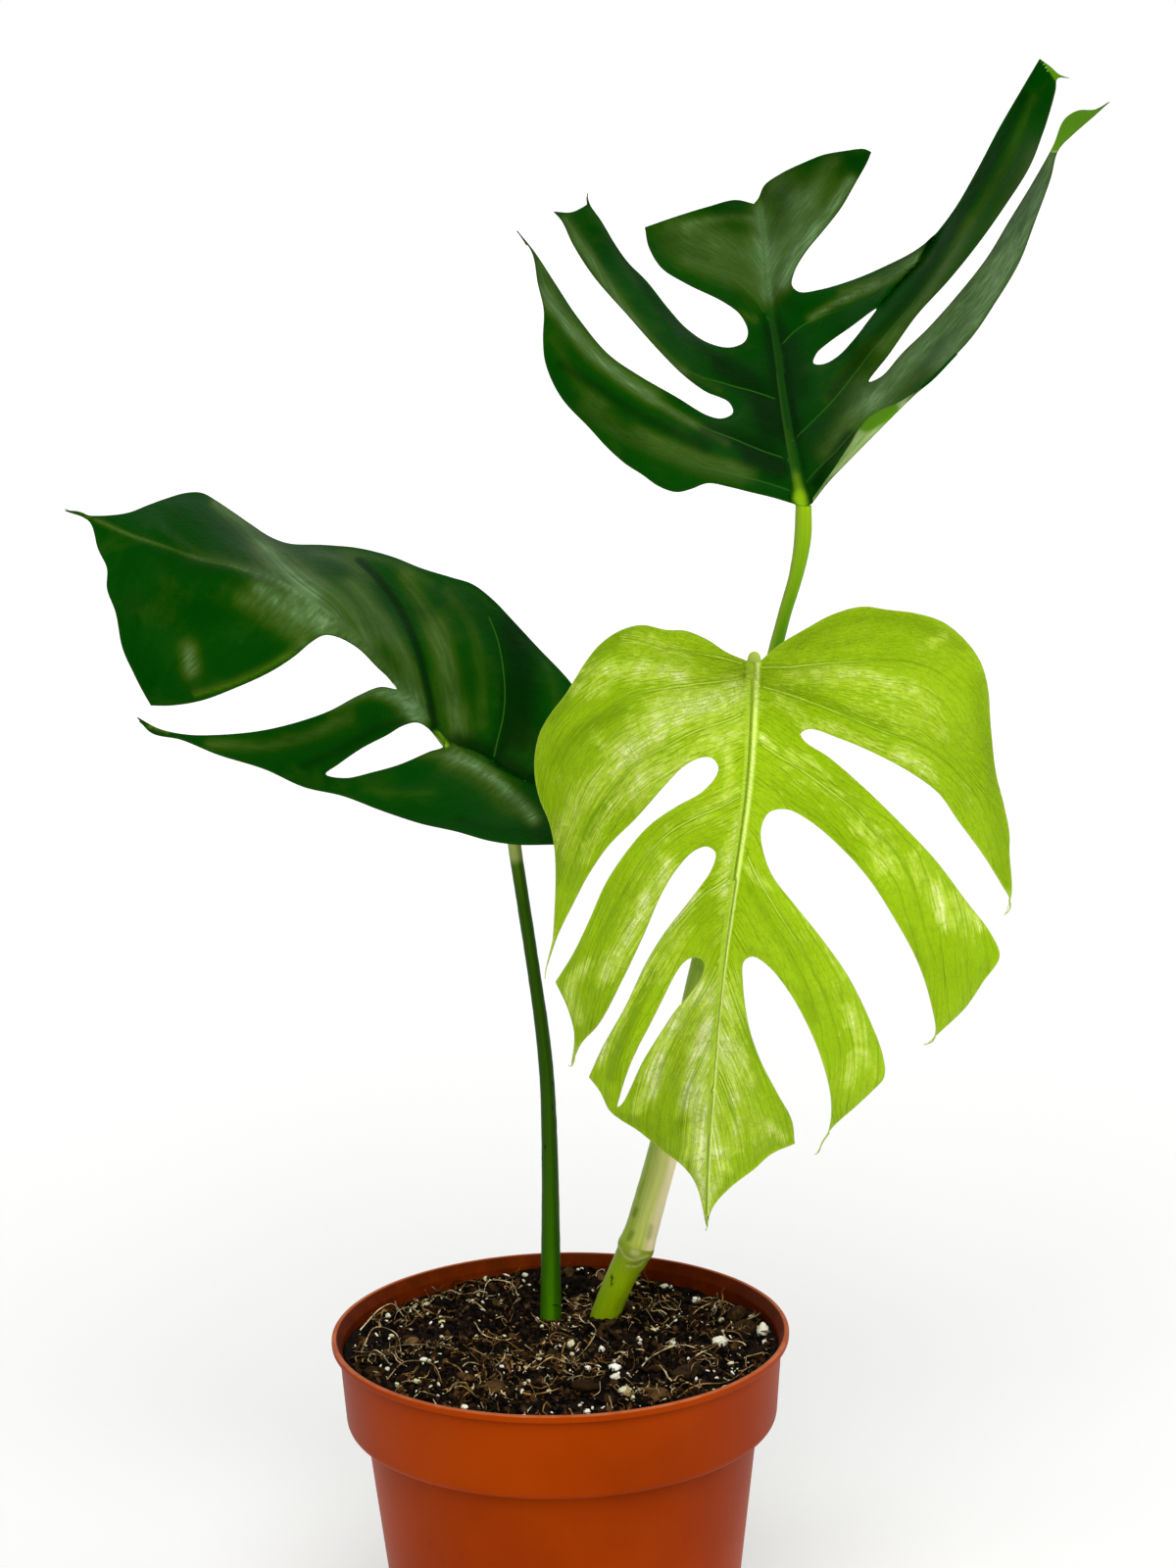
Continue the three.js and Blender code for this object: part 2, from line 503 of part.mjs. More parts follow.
// A round rod along a line of places, closed at both ends.
function rodGeometry(places, swell = 0) {
  const points = [];
  const sideways = new THREE.Vector3(1, 0, 0);
  places.forEach(({ point, radius }, k) => {
    const next = places[Math.min(k + 1, places.length - 1)].point;
    const last = places[Math.max(k - 1, 0)].point;
    const along = next.clone().sub(last).normalize();
    const across = sideways.clone().addScaledVector(along, -sideways.dot(along)).normalize();
    const over = along.clone().cross(across);
    for (let side = 0; side < STEM_SIDES; side += 1) {
      const angle = (side / STEM_SIDES) * Math.PI * 2;
      points.push(point.clone()
        .addScaledVector(across, Math.cos(angle) * (radius + swell))
        .addScaledVector(over, Math.sin(angle) * (radius + swell)));
    }
  });
  const faces = [];
  for (let ring = 0; ring + 1 < places.length; ring += 1) {
    for (let side = 0; side < STEM_SIDES; side += 1) {
      const a = ring * STEM_SIDES + side;
      const b = ring * STEM_SIDES + ((side + 1) % STEM_SIDES);
      faces.push([a, b, b + STEM_SIDES], [a, b + STEM_SIDES, a + STEM_SIDES]);
    }
  }
  const top = (places.length - 1) * STEM_SIDES;
  for (let side = 1; side + 1 < STEM_SIDES; side += 1) {
    faces.push([0, side + 1, side], [top, top + side, top + side + 1]);
  }
  return geometryFrom(points, faces);
}

// A line lengthened downwards into the soil.
function buried(places, depth) {
  const foot = places[0];
  const rise = places[1].point.clone().sub(foot.point).normalize();
  rise.lerp(new THREE.Vector3(0, 0, 1), 0.5).normalize();
  const end = foot.point.clone().addScaledVector(rise, -depth);
  return [{ point: end, radius: foot.radius * 0.9 }, ...places];
}

// A line cut off at its start or end by the given length.
function shortened(places, gap, atStart) {
  const ends = atStart ? [places[0], places[1]] : [places.at(-1), places.at(-2)];
  const moved = ends[0].point.clone().addScaledVector(ends[1].point.clone().sub(ends[0].point).normalize(), gap);
  const end = { point: moved, radius: ends[0].radius };
  return atStart ? [end, ...places.slice(1)] : [...places.slice(0, -1), end];
}

// The pot's outer and inner outlines, as [radius, height] from the foot up.
const collarTop = POT_HEIGHT - LIP_HEIGHT;
const collarFoot = POT_HEIGHT - COLLAR_DROP;
const roundingTop = collarFoot + COLLAR_ROUNDING;
const outerOutline = [
  [BASE_RADIUS - 1.2, 0], [BASE_RADIUS - 0.2, 1], [BASE_RADIUS, 2.5], [BODY_TOP_RADIUS, collarFoot - 0.6],
  [COLLAR_LOW_RADIUS - COLLAR_ROUNDING * 0.75, collarFoot],
  [COLLAR_LOW_RADIUS - COLLAR_ROUNDING * 0.4, collarFoot + COLLAR_ROUNDING * 0.17],
  [COLLAR_LOW_RADIUS - COLLAR_ROUNDING * 0.12, collarFoot + COLLAR_ROUNDING * 0.5],
  [COLLAR_LOW_RADIUS, roundingTop], [COLLAR_TOP_RADIUS, collarTop], [RIM_RADIUS - 0.5, collarTop],
  [RIM_RADIUS, collarTop + 0.6], [RIM_RADIUS, POT_HEIGHT - 0.6], [RIM_RADIUS - 0.7, POT_HEIGHT],
];
const innerOutline = [
  [BASE_RADIUS - POT_WALL - 1, 2], [BASE_RADIUS - POT_WALL, 4], [BODY_TOP_RADIUS - POT_WALL, collarFoot + 1],
  [COLLAR_LOW_RADIUS - COLLAR_ROUNDING * 0.5 - POT_WALL, collarFoot + COLLAR_ROUNDING * 0.5],
  [COLLAR_LOW_RADIUS - POT_WALL, roundingTop + 0.6], [COLLAR_TOP_RADIUS - POT_WALL, collarTop],
  [COLLAR_TOP_RADIUS - POT_WALL + 0.5, POT_HEIGHT],
];
const floorOutline = [[0, 2], [BASE_DISC_RADIUS - 1, 2], [BASE_DISC_RADIUS + 1, CHANNEL_HEIGHT + 2],
  [CHANNEL_OUTER_RADIUS - 0.4, CHANNEL_HEIGHT + 2], [CHANNEL_OUTER_RADIUS + 1.4, 2]];

function innerRadius(height) {
  const index = innerOutline.findIndex(([, z]) => z > height);
  const [lowRadius, lowHeight] = innerOutline[index - 1];
  const [highRadius, highHeight] = innerOutline[index];
  return THREE.MathUtils.mapLinear(height, lowHeight, highHeight, lowRadius, highRadius);
}

function potGeometry() {
  const underside = [[0, 0], [BASE_DISC_RADIUS, 0], [BASE_DISC_RADIUS + 1.6, CHANNEL_HEIGHT],
    [CHANNEL_OUTER_RADIUS, CHANNEL_HEIGHT], [CHANNEL_OUTER_RADIUS + 1.6, 0]];
  const inside = [...floorOutline, ...innerOutline].reverse();
  const outline = [...underside, ...outerOutline, ...inside].map(([r, z]) => new THREE.Vector2(r, z));
  const shell = new THREE.LatheGeometry(outline, POT_SECTORS).rotateX(Math.PI / 2);
  let solid = solidFrom(shell);
  const ring = (BASE_DISC_RADIUS + CHANNEL_OUTER_RADIUS + 1.2) / 2;
  for (let k = 0; k < DRAIN_HOLES; k += 1) {
    const angle = ((k + 0.5) / DRAIN_HOLES) * Math.PI * 2;
    const drill = new THREE.CylinderGeometry(DRAIN_HOLE_RADIUS, DRAIN_HOLE_RADIUS, 8, 12).rotateX(Math.PI / 2);
    drill.translate(Math.cos(angle) * ring, Math.sin(angle) * ring, CHANNEL_HEIGHT + 1);
    solid = solid.subtract(solidFrom(drill));
  }
  return geometryOf(solid);
}

// The soil's top: a low mound with crumbs, lower against the wall.
const soilEdge = POT_HEIGHT - SOIL_DROP;
function soilHeight(x, y) {
  const spread = Math.hypot(x, y) / RIM_RADIUS;
  const mound = SOIL_MOUND * (1 - spread * spread);
  const crumbs = smoothNoise(x / 9, y / 9) + 0.6 * smoothNoise(x / 4.5 + 20, y / 4.5);
  return soilEdge + mound + CRUMB_HEIGHT * crumbs;
}

function soilGeometry(stemCutters) {
  const rings = [];
  const stand = SEAT_GAP;
  floorOutline.slice(1).forEach(([r, z]) => rings.push({ radius: r, height: z + stand }));
  innerOutline.slice(0, 5).forEach(([r, z]) => rings.push({ radius: r - stand, height: z + stand }));
  const edgeRadius = innerRadius(soilEdge - 3) - stand;
  rings.push({ radius: edgeRadius, height: soilEdge - 3 });
  for (let ring = SOIL_RINGS; ring > 0; ring -= 1) {
    rings.push({ radius: edgeRadius * (ring - 0.15) / SOIL_RINGS, crumbled: true });
  }
  const points = [new THREE.Vector3(0, 0, floorOutline[0][1] + stand)];
  rings.forEach(({ radius, height, crumbled }) => {
    for (let sector = 0; sector < SOIL_SECTORS; sector += 1) {
      const angle = (sector / SOIL_SECTORS) * Math.PI * 2;
      const x = Math.cos(angle) * radius;
      const y = Math.sin(angle) * radius;
      points.push(new THREE.Vector3(x, y, crumbled ? soilHeight(x, y) : height));
    }
  });
  points.push(new THREE.Vector3(0, 0, soilHeight(0, 0)));
  const faces = [];
  const at = (ring, sector) => 1 + ring * SOIL_SECTORS + (sector % SOIL_SECTORS);
  for (let sector = 0; sector < SOIL_SECTORS; sector += 1) {
    faces.push([0, at(0, sector + 1), at(0, sector)]);
    for (let ring = 0; ring + 1 < rings.length; ring += 1) {
      const [a, b] = [at(ring, sector), at(ring, sector + 1)];
      const [c, d] = [at(ring + 1, sector), at(ring + 1, sector + 1)];
      faces.push([a, b, d], [a, d, c]);
    }
    faces.push([at(rings.length - 1, sector), at(rings.length - 1, sector + 1), points.length - 1]);
  }
  let solid = solidFrom(geometryFrom(points, faces));
  const random = seededRandom(CHIP_SEED);
  const feet = [stemLine, leftPetioleLine].map(([[u, v, depth]]) => sighted(u, v, depth));
  let chips = 0;
  while (chips < CHIP_COUNT) {
    const angle = random() * Math.PI * 2;
    const reach = Math.sqrt(random()) * CHIP_REACH;
    const [x, y] = [Math.cos(angle) * reach, Math.sin(angle) * reach];
    const size = 1.8 + 2.6 * random() * random();
    const flatness = 0.45 + 0.4 * random();
    const turns = new THREE.Euler(random() * 0.8, random() * 0.8, random() * Math.PI * 2);
    if (feet.some((foot) => Math.hypot(foot.x - x, foot.y - y) < STEM_CLEARANCE)) continue;
    const chip = new THREE.IcosahedronGeometry(size, 0).scale(1.3, 0.85, flatness);
    chip.applyMatrix4(new THREE.Matrix4().makeRotationFromEuler(turns));
    chip.translate(x, y, soilHeight(x, y) + size * 0.15);
    solid = solid.add(solidFrom(chip));
    chips += 1;
  }
  stemCutters.forEach((cutter) => {
    solid = solid.subtract(solidFrom(cutter));
  });
  return geometryOf(largestBody(solid));
}

// Stem, petioles and blades, each cut back from what it meets by the seat gap.
const plantLine = smoothLine(stemLine);
const ringHeight = sighted(649, NODE_RING_SIGHT, 28).z;
const ringIndex = plantLine.findIndex(({ point }) => point.z > ringHeight);
const stemPlaces = buried(plantLine.slice(0, ringIndex + 1), BURIED_DEPTH);
const topPlaces = shortened(plantLine.slice(ringIndex), SEAT_GAP, true);
const youngPlaces = smoothLine(youngPetioleLine);
const leftPlaces = buried(smoothLine(leftPetioleLine), BURIED_DEPTH);

const swollen = (places) => {
  const foot = shortened(places, -SEAT_GAP, true);
  return rodGeometry(foot, SEAT_GAP);
};
const cutBack = (places, ...cutters) => cutters.reduce(
  (solid, cutter) => largestBody(solid.subtract(solidFrom(cutter))),
  solidFrom(rodGeometry(places)),
);

const pieces = {
  pot: potGeometry(),
  soil: soilGeometry([swollen(stemPlaces), swollen(leftPlaces)]),
  stem: rodGeometry(stemPlaces),
  petiole_top: geometryOf(cutBack(topPlaces, swollen(youngPlaces), bladeGeometry(topLeaf, SEAT_GAP))),
  petiole_young: geometryOf(cutBack(youngPlaces, bladeGeometry(youngLeaf, SEAT_GAP))),
  petiole_left: geometryOf(cutBack(leftPlaces, bladeGeometry(leftLeaf, SEAT_GAP))),
  leaf_top: bladeGeometry(topLeaf),
  leaf_young: bladeGeometry(youngLeaf),
  leaf_left: bladeGeometry(leftLeaf),
};

const finishes = {
  pot: { color: '#a5421a', roughness: 0.5 },
  soil: { color: '#1e140d', roughness: 0.95 },
  stem: { color: '#7fa332', roughness: 0.5 },
  petiole_top: { color: '#8fae45', roughness: 0.45 },
  petiole_young: { color: '#9cc220', roughness: 0.4 },
  petiole_left: { color: '#1f5a0a', roughness: 0.4 },
  leaf_top: { color: '#0a4a06', roughness: 0.3 },
  leaf_young: { color: '#9ac21a', roughness: 0.3 },
  leaf_left: { color: '#0a4a06', roughness: 0.3 },
};

const plant = new THREE.Group();
Object.entries(pieces).forEach(([name, geometry]) => {
  geometry.computeVertexNormals();
  const material = new THREE.MeshStandardMaterial({ ...finishes[name], metalness: 0 });
  const mesh = new THREE.Mesh(geometry, material);
  mesh.name = name;
  plant.add(mesh);
});

export default plant;
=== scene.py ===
"""The looks of a potted monstera sierrana: three leaves on their petioles, a stem, potting soil and a pot.

Metres, +Z up. The plant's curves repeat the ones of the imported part: sights in a picture frame 1200 wide
and 1600 high, with a depth in millimetres behind the pot's axis.
"""

import math

import bpy
import numpy as np
from mathutils import Matrix, Vector, noise
from mathutils.geometry import delaunay_2d_cdt


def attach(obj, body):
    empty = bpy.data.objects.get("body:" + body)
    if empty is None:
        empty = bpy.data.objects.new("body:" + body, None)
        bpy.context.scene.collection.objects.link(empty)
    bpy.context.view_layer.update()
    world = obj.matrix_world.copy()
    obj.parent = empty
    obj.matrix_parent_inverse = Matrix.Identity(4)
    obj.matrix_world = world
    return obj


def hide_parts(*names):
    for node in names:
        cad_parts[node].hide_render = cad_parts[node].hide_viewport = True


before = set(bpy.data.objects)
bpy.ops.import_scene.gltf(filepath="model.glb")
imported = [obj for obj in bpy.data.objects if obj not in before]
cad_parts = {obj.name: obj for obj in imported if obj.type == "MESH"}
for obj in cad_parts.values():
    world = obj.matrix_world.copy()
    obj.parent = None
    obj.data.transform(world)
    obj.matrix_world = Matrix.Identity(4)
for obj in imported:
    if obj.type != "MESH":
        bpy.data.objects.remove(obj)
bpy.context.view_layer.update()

MM = 0.001
BODY = "root"

# The sight frame, which is also the photograph's camera.
VIEW_EYE = np.array((12.5, -1036.0, 528.0))
VIEW_PITCH = math.radians(11.5)
VIEW_ROLL = math.radians(-1.1)
VIEW_FOCAL = 3400
VIEW_SIZE = (1200, 1600)
SENSOR = 36
SIGHT_SIZE = 0.31

# The pot, in millimetres.
RIM_RADIUS = 75
POT_HEIGHT = 135
POT_WALL = 1.1
LIP_WIDTH = 1.6
LIP_HEIGHT = 2.4
COLLAR_TOP_RADIUS = 72.6
COLLAR_LOW_RADIUS = 70.6
COLLAR_DROP = 29.5
COLLAR_ROUNDING = 5.2
BODY_TOP_RADIUS = 64.6
BASE_RADIUS = 52.4
BASE_DISC_RADIUS = 34
CHANNEL_OUTER_RADIUS = 45.6
CHANNEL_HEIGHT = 3
POT_FLOOR = 2
DRAIN_HOLES = 8
DRAIN_HOLE_RADIUS = 4.2
DRAIN_RING_RADIUS = (BASE_DISC_RADIUS + CHANNEL_OUTER_RADIUS + 1.2) / 2
POT_SECTORS = 176

# The soil, in millimetres.
SOIL_DROP = 8.5
SOIL_EDGE_RADIUS = 70.95
SOIL_GAP = 0.4
SOIL_MOUND = 0.8
SOIL_FRONT_RISE = 4
# Where soil is heaped against the wall: [bearing from the right and width of the heap in degrees, height].
SOIL_HEAPS = [[92, 28, 5.2], [183, 30, 2.4], [-177, 30, 2.4], [-2, 26, 1.8], [-90, 60, 0.6]]
# Crumbs of its top in three sizes: [height, width, a shift that keeps their noises apart].
SOIL_CRUMBS = [[1.9, 9, (0, 0, 0)], [1.5, 4, (20, 0, 0)], [0.9, 1.9, (0, 30, 0)]]
SOIL_SECTORS = 200
SOIL_RINGS = 70
# The grid on which loose pieces are strewn, and how far they stay from the stems' middles.
PATCH_STEP = 2.0
STEM_CLEARANCE = 5.6
# Long fibres: how far they stay from the wall and stand off the soil, their steps and their sides.
ROOT_CLEARANCE = 2.5
ROOT_STAND = 0.8
ROOT_STEPS = 40
ROOT_SIDES = 6
# Places tried along a line of sight for where it meets the soil.
SIGHT_STEPS = 400

# The plant. Blade cells and steps are in sights, heights in millimetres.
BLADE_THICKNESS = 0.55
RIM_THICKNESS = 0.26
BLADE_CELL = 3.7
MARGIN_STEP = 3.2
TUBE_SIDES = 48
TUBE_STEP = 0.9
BURIED_DEPTH = 22
SHEATH_LENGTH = 75
# How the streaks' coordinates run: per vein interval and per metre, and how many fine veins an interval has.
ACROSS_SCALE = 7.0
ALONG_SCALE = 45.0
FINE_VEINS = 4.0


def sights_in(text):
    """The points of a line, written as "u,v u,v": each has its numbers joined by commas."""
    return [[float(number) for number in point.split(",")] for point in text.split()]


def lines_in(text):
    """Lines of points, parted by semicolons."""
    return [sights_in(line) for line in text.split(";")]


def strokes_in(text):
    """Lines of points, parted by semicolons, each after its own numbers and a colon."""
    parted = [stroke.split(":") for stroke in text.split(";")]
    return [[*map(float, numbers.split()), sights_in(line)] for numbers, line in parted]


# Stem and petioles: u,v,depth,radius along their middle lines.
STEM_LINE = sights_in("""
    616,1346,29,4.9 627,1318,28,4.9 638,1294,28,5.1 645.5,1280,28,5.8 654,1257,28,5.6 666,1215,28,5.3
    677,1175,27,5.2 694,1100,26,4.8 709,1020,25,4.1 722,955,24,3.4 746,850,23,2.7 770,750,22,2.3
    790,667,21,2.15 802,622,20,2.1 812,588,20,2.3 819,550,20,2.8 820,516,20,2.6
""")
# Where the node ring is seen, and its depth.
NODE_RING = (649, 1268, 28)
# Strokes on the front of the stem and of the top petiole's foot, [half width, strength: line]: painted
# highlights on the scar's crescent lips and painted sheen streaks, darker patches, and dark specks.
STEM_MARKS = {
    "pale_tone_and_highlight": strokes_in("""
    1.7 0.75: 631,1271 639.5,1284 648,1286 662,1281; 1.5 0.6: 639.5,1291 649,1293 658,1287; 4.5 0.7:
    646,1278 650,1279; 2.2 0.5: 652,1270 661,1235 672,1190; 2 0.4: 645,1272 655,1235 668,1180
    """),
    "stained": strokes_in("""
    4 0.7: 642,1264 645,1258; 3.5 0.7: 647,1240 649,1234; 3 0.4: 652,1220 656,1206; 2.5 0.5: 640,1289
    650,1290; 5 0.5: 664,1252 662,1262; 5 0.4: 628,1338 634,1326
    """),
    "speck": strokes_in("1.3 1: 624,1301 624.5,1304; 1.3 0.9: 624,1307 624,1312"),
}
LEFT_PETIOLE_MARKS = {
    "pale_tone_and_highlight": strokes_in("9 0.6: 523,862 525,874"),
    "speck": strokes_in("""
    1.6 0.9: 554,1014 554,1017; 1.5 0.8: 564,1104 564,1108; 1.5 0.8: 564,1128 564,1132; 1.6 0.8: 556,1169
    556,1172
    """),
}
YOUNG_PETIOLE_LINE = sights_in("""
    716,985,20,1.7 724,940,18,2 738,870,13,2 752,790,2,2 762,725,-12,2 768,690,-22,2.1 769.5,674,-28,2.1
    769.5,671,-32,1.9
""")
LEFT_PETIOLE_LINE = sights_in("""
    562,1347,29,3.7 562,1290,30,3.3 561,1180,31,2.75 558,1100,32,2.45 553,1050,32,2.3 546,1000,33,2.15
    533,915,34,2.15 525,862,35,2.2 523,836,35.5,2.5 528,815,35,2.6 534,801,32,2.4
""")

# Each blade: its margin in runs from corner to corner, each ending where the next one begins, its closed
# slots, its midrib, its depth marks, its side veins from the base to the tip, left and right of the midrib
# as they are seen, the threads at its points, and strokes, [half width, strength: line]: of painted sheen
# and highlights, of painted shade with a deeper green tone, of paler vein lines, and of fresher colour,
# which on the left leaf's lower margin also paints a reflection.
# Turned are the tips that are twisted over, so that they show their other side.
YOUNG_LEAF = {
    "margin": lines_in("""
    764,675 742,666 722,653 700,644 680,643 655,638 632,644 612,658 598,675 588,691 577,709 561,730 551,748
    546,770 546,793 551,816 560,838 565,860 567,885 566,930 563,966; 557,990 569,955 585,922 600,893 620,864
    650,834 680,800 698,782 716,773 727,774 733,783 730,793 715,809 690,823 663,842 640,868 618,901 600,942
    585,973; 567,1002 579,1028 586,1056; 583,1087 593,1065 611,1045 635,1000 655,958 675,912 692,885 709,868
    722,864 730,870 726,887 705,917 680,949 660,981 638,1027 614,1070; 601,1099 612,1113 622,1133 634,1143
    650,1153 675,1173 697,1190 710,1208; 721,1252 728,1231 745,1212 770,1193 787,1178; 811,1167 808,1143
    793,1115 776,1082 764,1047 758,1005 759,981 768,976 784,986 805,1012 824,1046 839,1083 848,1122
    846,1152; 833,1178 848,1152 872,1130 890,1113 902,1099 901,1078 888,1042 866,997 838,957 810,922 788,893
    778,865 777,844 785,829 803,826 825,837 855,862 885,895 913,938 936,981 949,1020 954,1056; 945,1066
    960,1052 985,1028 1003,1002 1020,976 1012,954 985,918 955,878 920,841 880,802 845,772 822,757 817,749
    826,744 855,753 893,769 930,789 958,810 978,838 1003,872 1022,903 1030,918; 1026,932 1032,912 1030,870
    1030,850 1024,820 1016,788 1011,742 1008,702 1000,675 984,653 962,635 935,626 905,622 880,619 850,627
    820,643 795,658; 775,675 770,677
    """),
    "slots": lines_in("""
    630,1130 633,1117 641,1092 650,1071 663,1046 677,1018 687,998 697,983 707,977 716,979 719,985 715,998
    704,1014 690,1030 672,1057 655,1085 643,1111 635,1126
    """),
    "midrib": sights_in("769,677 768,720 764,790 757,850 745,930 735,1010 727,1110 722,1200 721,1248"),
    "marks": sights_in("""
    769,677,-34 768,720,-37 764,790,-43 757,850,-45 745,930,-46 735,1010,-45 727,1110,-42 722,1200,-37
    721,1252,-33 655,638,-20 700,644,-25 600,671,-17 546,780,-13 566,900,-16 557,990,-17 650,740,-37
    610,800,-29 722,770,-44 650,834,-34 600,893,-25 735,830,-45 680,880,-40 640,945,-33 567,1002,-20
    583,1087,-20 690,960,-42 640,1060,-33 601,1099,-24 634,1143,-27 675,1173,-31 690,1100,-39 811,1167,-25
    775,1085,-37 760,1000,-43 770,930,-44 830,985,-37 880,1060,-27 902,1099,-21 833,1178,-19 848,1122,-26
    790,790,-43 880,850,-36 940,930,-29 1020,976,-17 945,1066,-17 860,690,-38 940,700,-32 1010,730,-20
    984,653,-18 880,619,-22 960,810,-27 1026,932,-12 795,658,-28
    """),
    "veins_left": lines_in("""
    762,679 735,672 706,667 678,662 651,654 630,653; 761,691 740,695 725,697 693,701 677,703 643,711 614,729
    590,750 575,772 563,805 560,835; 759,727 748,733 734,738 706,748 680,762 651,778 620,812 597,850 581,895
    568,945; 755,813 736,823 706,836 680,852 658,876 640,905 620,940 603,985 592,1030 585,1070; 746,894
    733,903 719,912 690,943 661,982 642,1016 622,1059 613,1098; 740,965 729,990 716,1015 698,1045 678,1085
    664,1125 660,1152; 731,1050 713,1086 699,1122 694,1170
    """),
    "veins_right": lines_in("""
    776,682 806,681 843,677 880,674 911,674 930,676 954,684 982,706 998,735; 775,700 797,706 834,719 871,734
    908,749 936,758 960,773 982,795 1000,819 1015,855 1023,890; 771,756 797,773 821,788 843,804 871,826
    893,849 913,869 930,900 942,940 952,985 953,1030; 758,862 770,890 790,925 812,960 832,995 850,1040
    858,1080 852,1130; 738,985 748,1015 762,1054 780,1097 795,1140; 729,1085 740,1112 752,1150 757,1182
    """),
    "sheen": strokes_in("""
    8 0.5: 640,652 668,657 697,668; 18 0.5: 598,686 640,688 692,692; 8 0.4: 623,684 660,682 697,690; 8 0.35:
    584,706 620,704; 26 0.78: 752,710 712,722 676,738 648,764; 9 0.35: 664,716 712,722; 16 0.6: 752,748
    716,766 682,790 650,812; 6 0.4: 736,762 748,784; 15 0.6: 640,775 610,800 586,830 575,856; 7 0.3: 603,745
    618,760; 9 0.5: 652,796 630,816 612,846 598,876; 7 0.25: 565,790 585,815; 10 0.5: 716,832 732,818
    752,806; 10 0.75: 754,838 745,870 738,905; 6 0.4: 742,775 741,810 735,840; 10 0.3: 705,840 670,860
    650,890; 9 0.75: 682,880 658,925 640,960 620,996; 16 0.35: 680,890 630,980; 9 0.65: 600,984 582,1010
    590,1040; 12 0.35: 700,925 650,1000 615,1075; 6 0.8: 712,912 680,950 656,987 632,1030 612,1084; 9 0.45:
    700,950 672,1000; 28 0.7: 730,1010 722,1090 718,1180; 9 0.7: 712,1004 692,1038 674,1072 664,1115; 6 0.5:
    676,1080 668,1118; 7 0.85: 722,1045 708,1086 698,1130; 9 0.8: 722,1115 714,1160; 8 0.95: 724,1140
    716,1190 720,1228; 6 0.65: 738,1060 746,1096 748,1124; 5 0.6: 756,1068 764,1104; 6 0.5: 750,1124
    752,1172; 7 0.65: 782,1146 798,1160; 9 0.4: 740,1000 750,1040; 20 0.4: 812,690 860,692 905,702 950,724;
    8 0.4: 830,686 890,690 930,704; 12 0.3: 870,722 920,737 962,752; 8 0.4: 940,662 962,650; 10 0.5: 795,712
    812,728 822,742; 8 0.6: 838,738 880,756 920,772 948,790; 7 0.45: 918,760 940,776 954,796; 5 0.4: 984,797
    990,817; 4 0.9: 777,752 790,764; 5 0.5: 806,768 826,776 840,788; 14 0.35: 810,782 850,808 890,846
    912,884; 9 0.45: 874,845 902,888; 16 0.3: 798,896 838,955 868,1008; 8 0.35: 790,880 820,915 850,960; 15
    0.42: 930,876 956,918 986,946; 7 0.7: 952,905 962,945; 7 0.6: 975,915 1000,945; 10 0.65: 865,1030
    878,1066 866,1100; 5 0.45: 885,1075 893,1098; 6 0.6: 762,886 782,905; 8 0.4: 745,900 735,960; 14 0.45:
    745,1060 760,1110 770,1160; 9 0.6: 735,1175 726,1218; 12 0.5: 684,1050 664,1100 652,1130
    """),
    "deep_tone_and_shade": strokes_in("""
    11 0.75: 640,648 612,666 588,700 568,732; 9 0.8: 566,775 586,752 634,724; 7 0.75: 598,854 622,820
    650,792; 9 0.5: 554,790 564,850 570,900; 7 0.95: 666,992 648,1035 632,1075 626,1098; 4 0.7: 697,1078
    688,1106; 6 0.8: 707,1110 697,1138 691,1152; 10 0.6: 816,652 870,632 930,636 978,660; 16 0.6: 1000,700
    1008,760 1018,830 1026,900; 7 0.7: 800,702 850,720 905,742; 8 0.55: 764,905 788,945 812,985 830,1040; 8
    0.4: 790,800 850,850 900,915; 7 0.5: 590,960 580,1000 584,1060; 10 0.45: 690,1165 705,1200; 7 0.4:
    800,660 840,660 890,652; 8 0.5: 930,950 945,1010 952,1050
    """),
    "threads": lines_in("""
    566,955 561,974 557,990 556,999; 586,1072 586,1081 583,1088 580,1087; 720,1240 722,1250 720,1256;
    846,1156 839,1166 835,1176 831,1178; 954,1058 951,1063 946,1065 942,1066; 1030,918 1031,925 1028,931
    1024,934
    """),
}
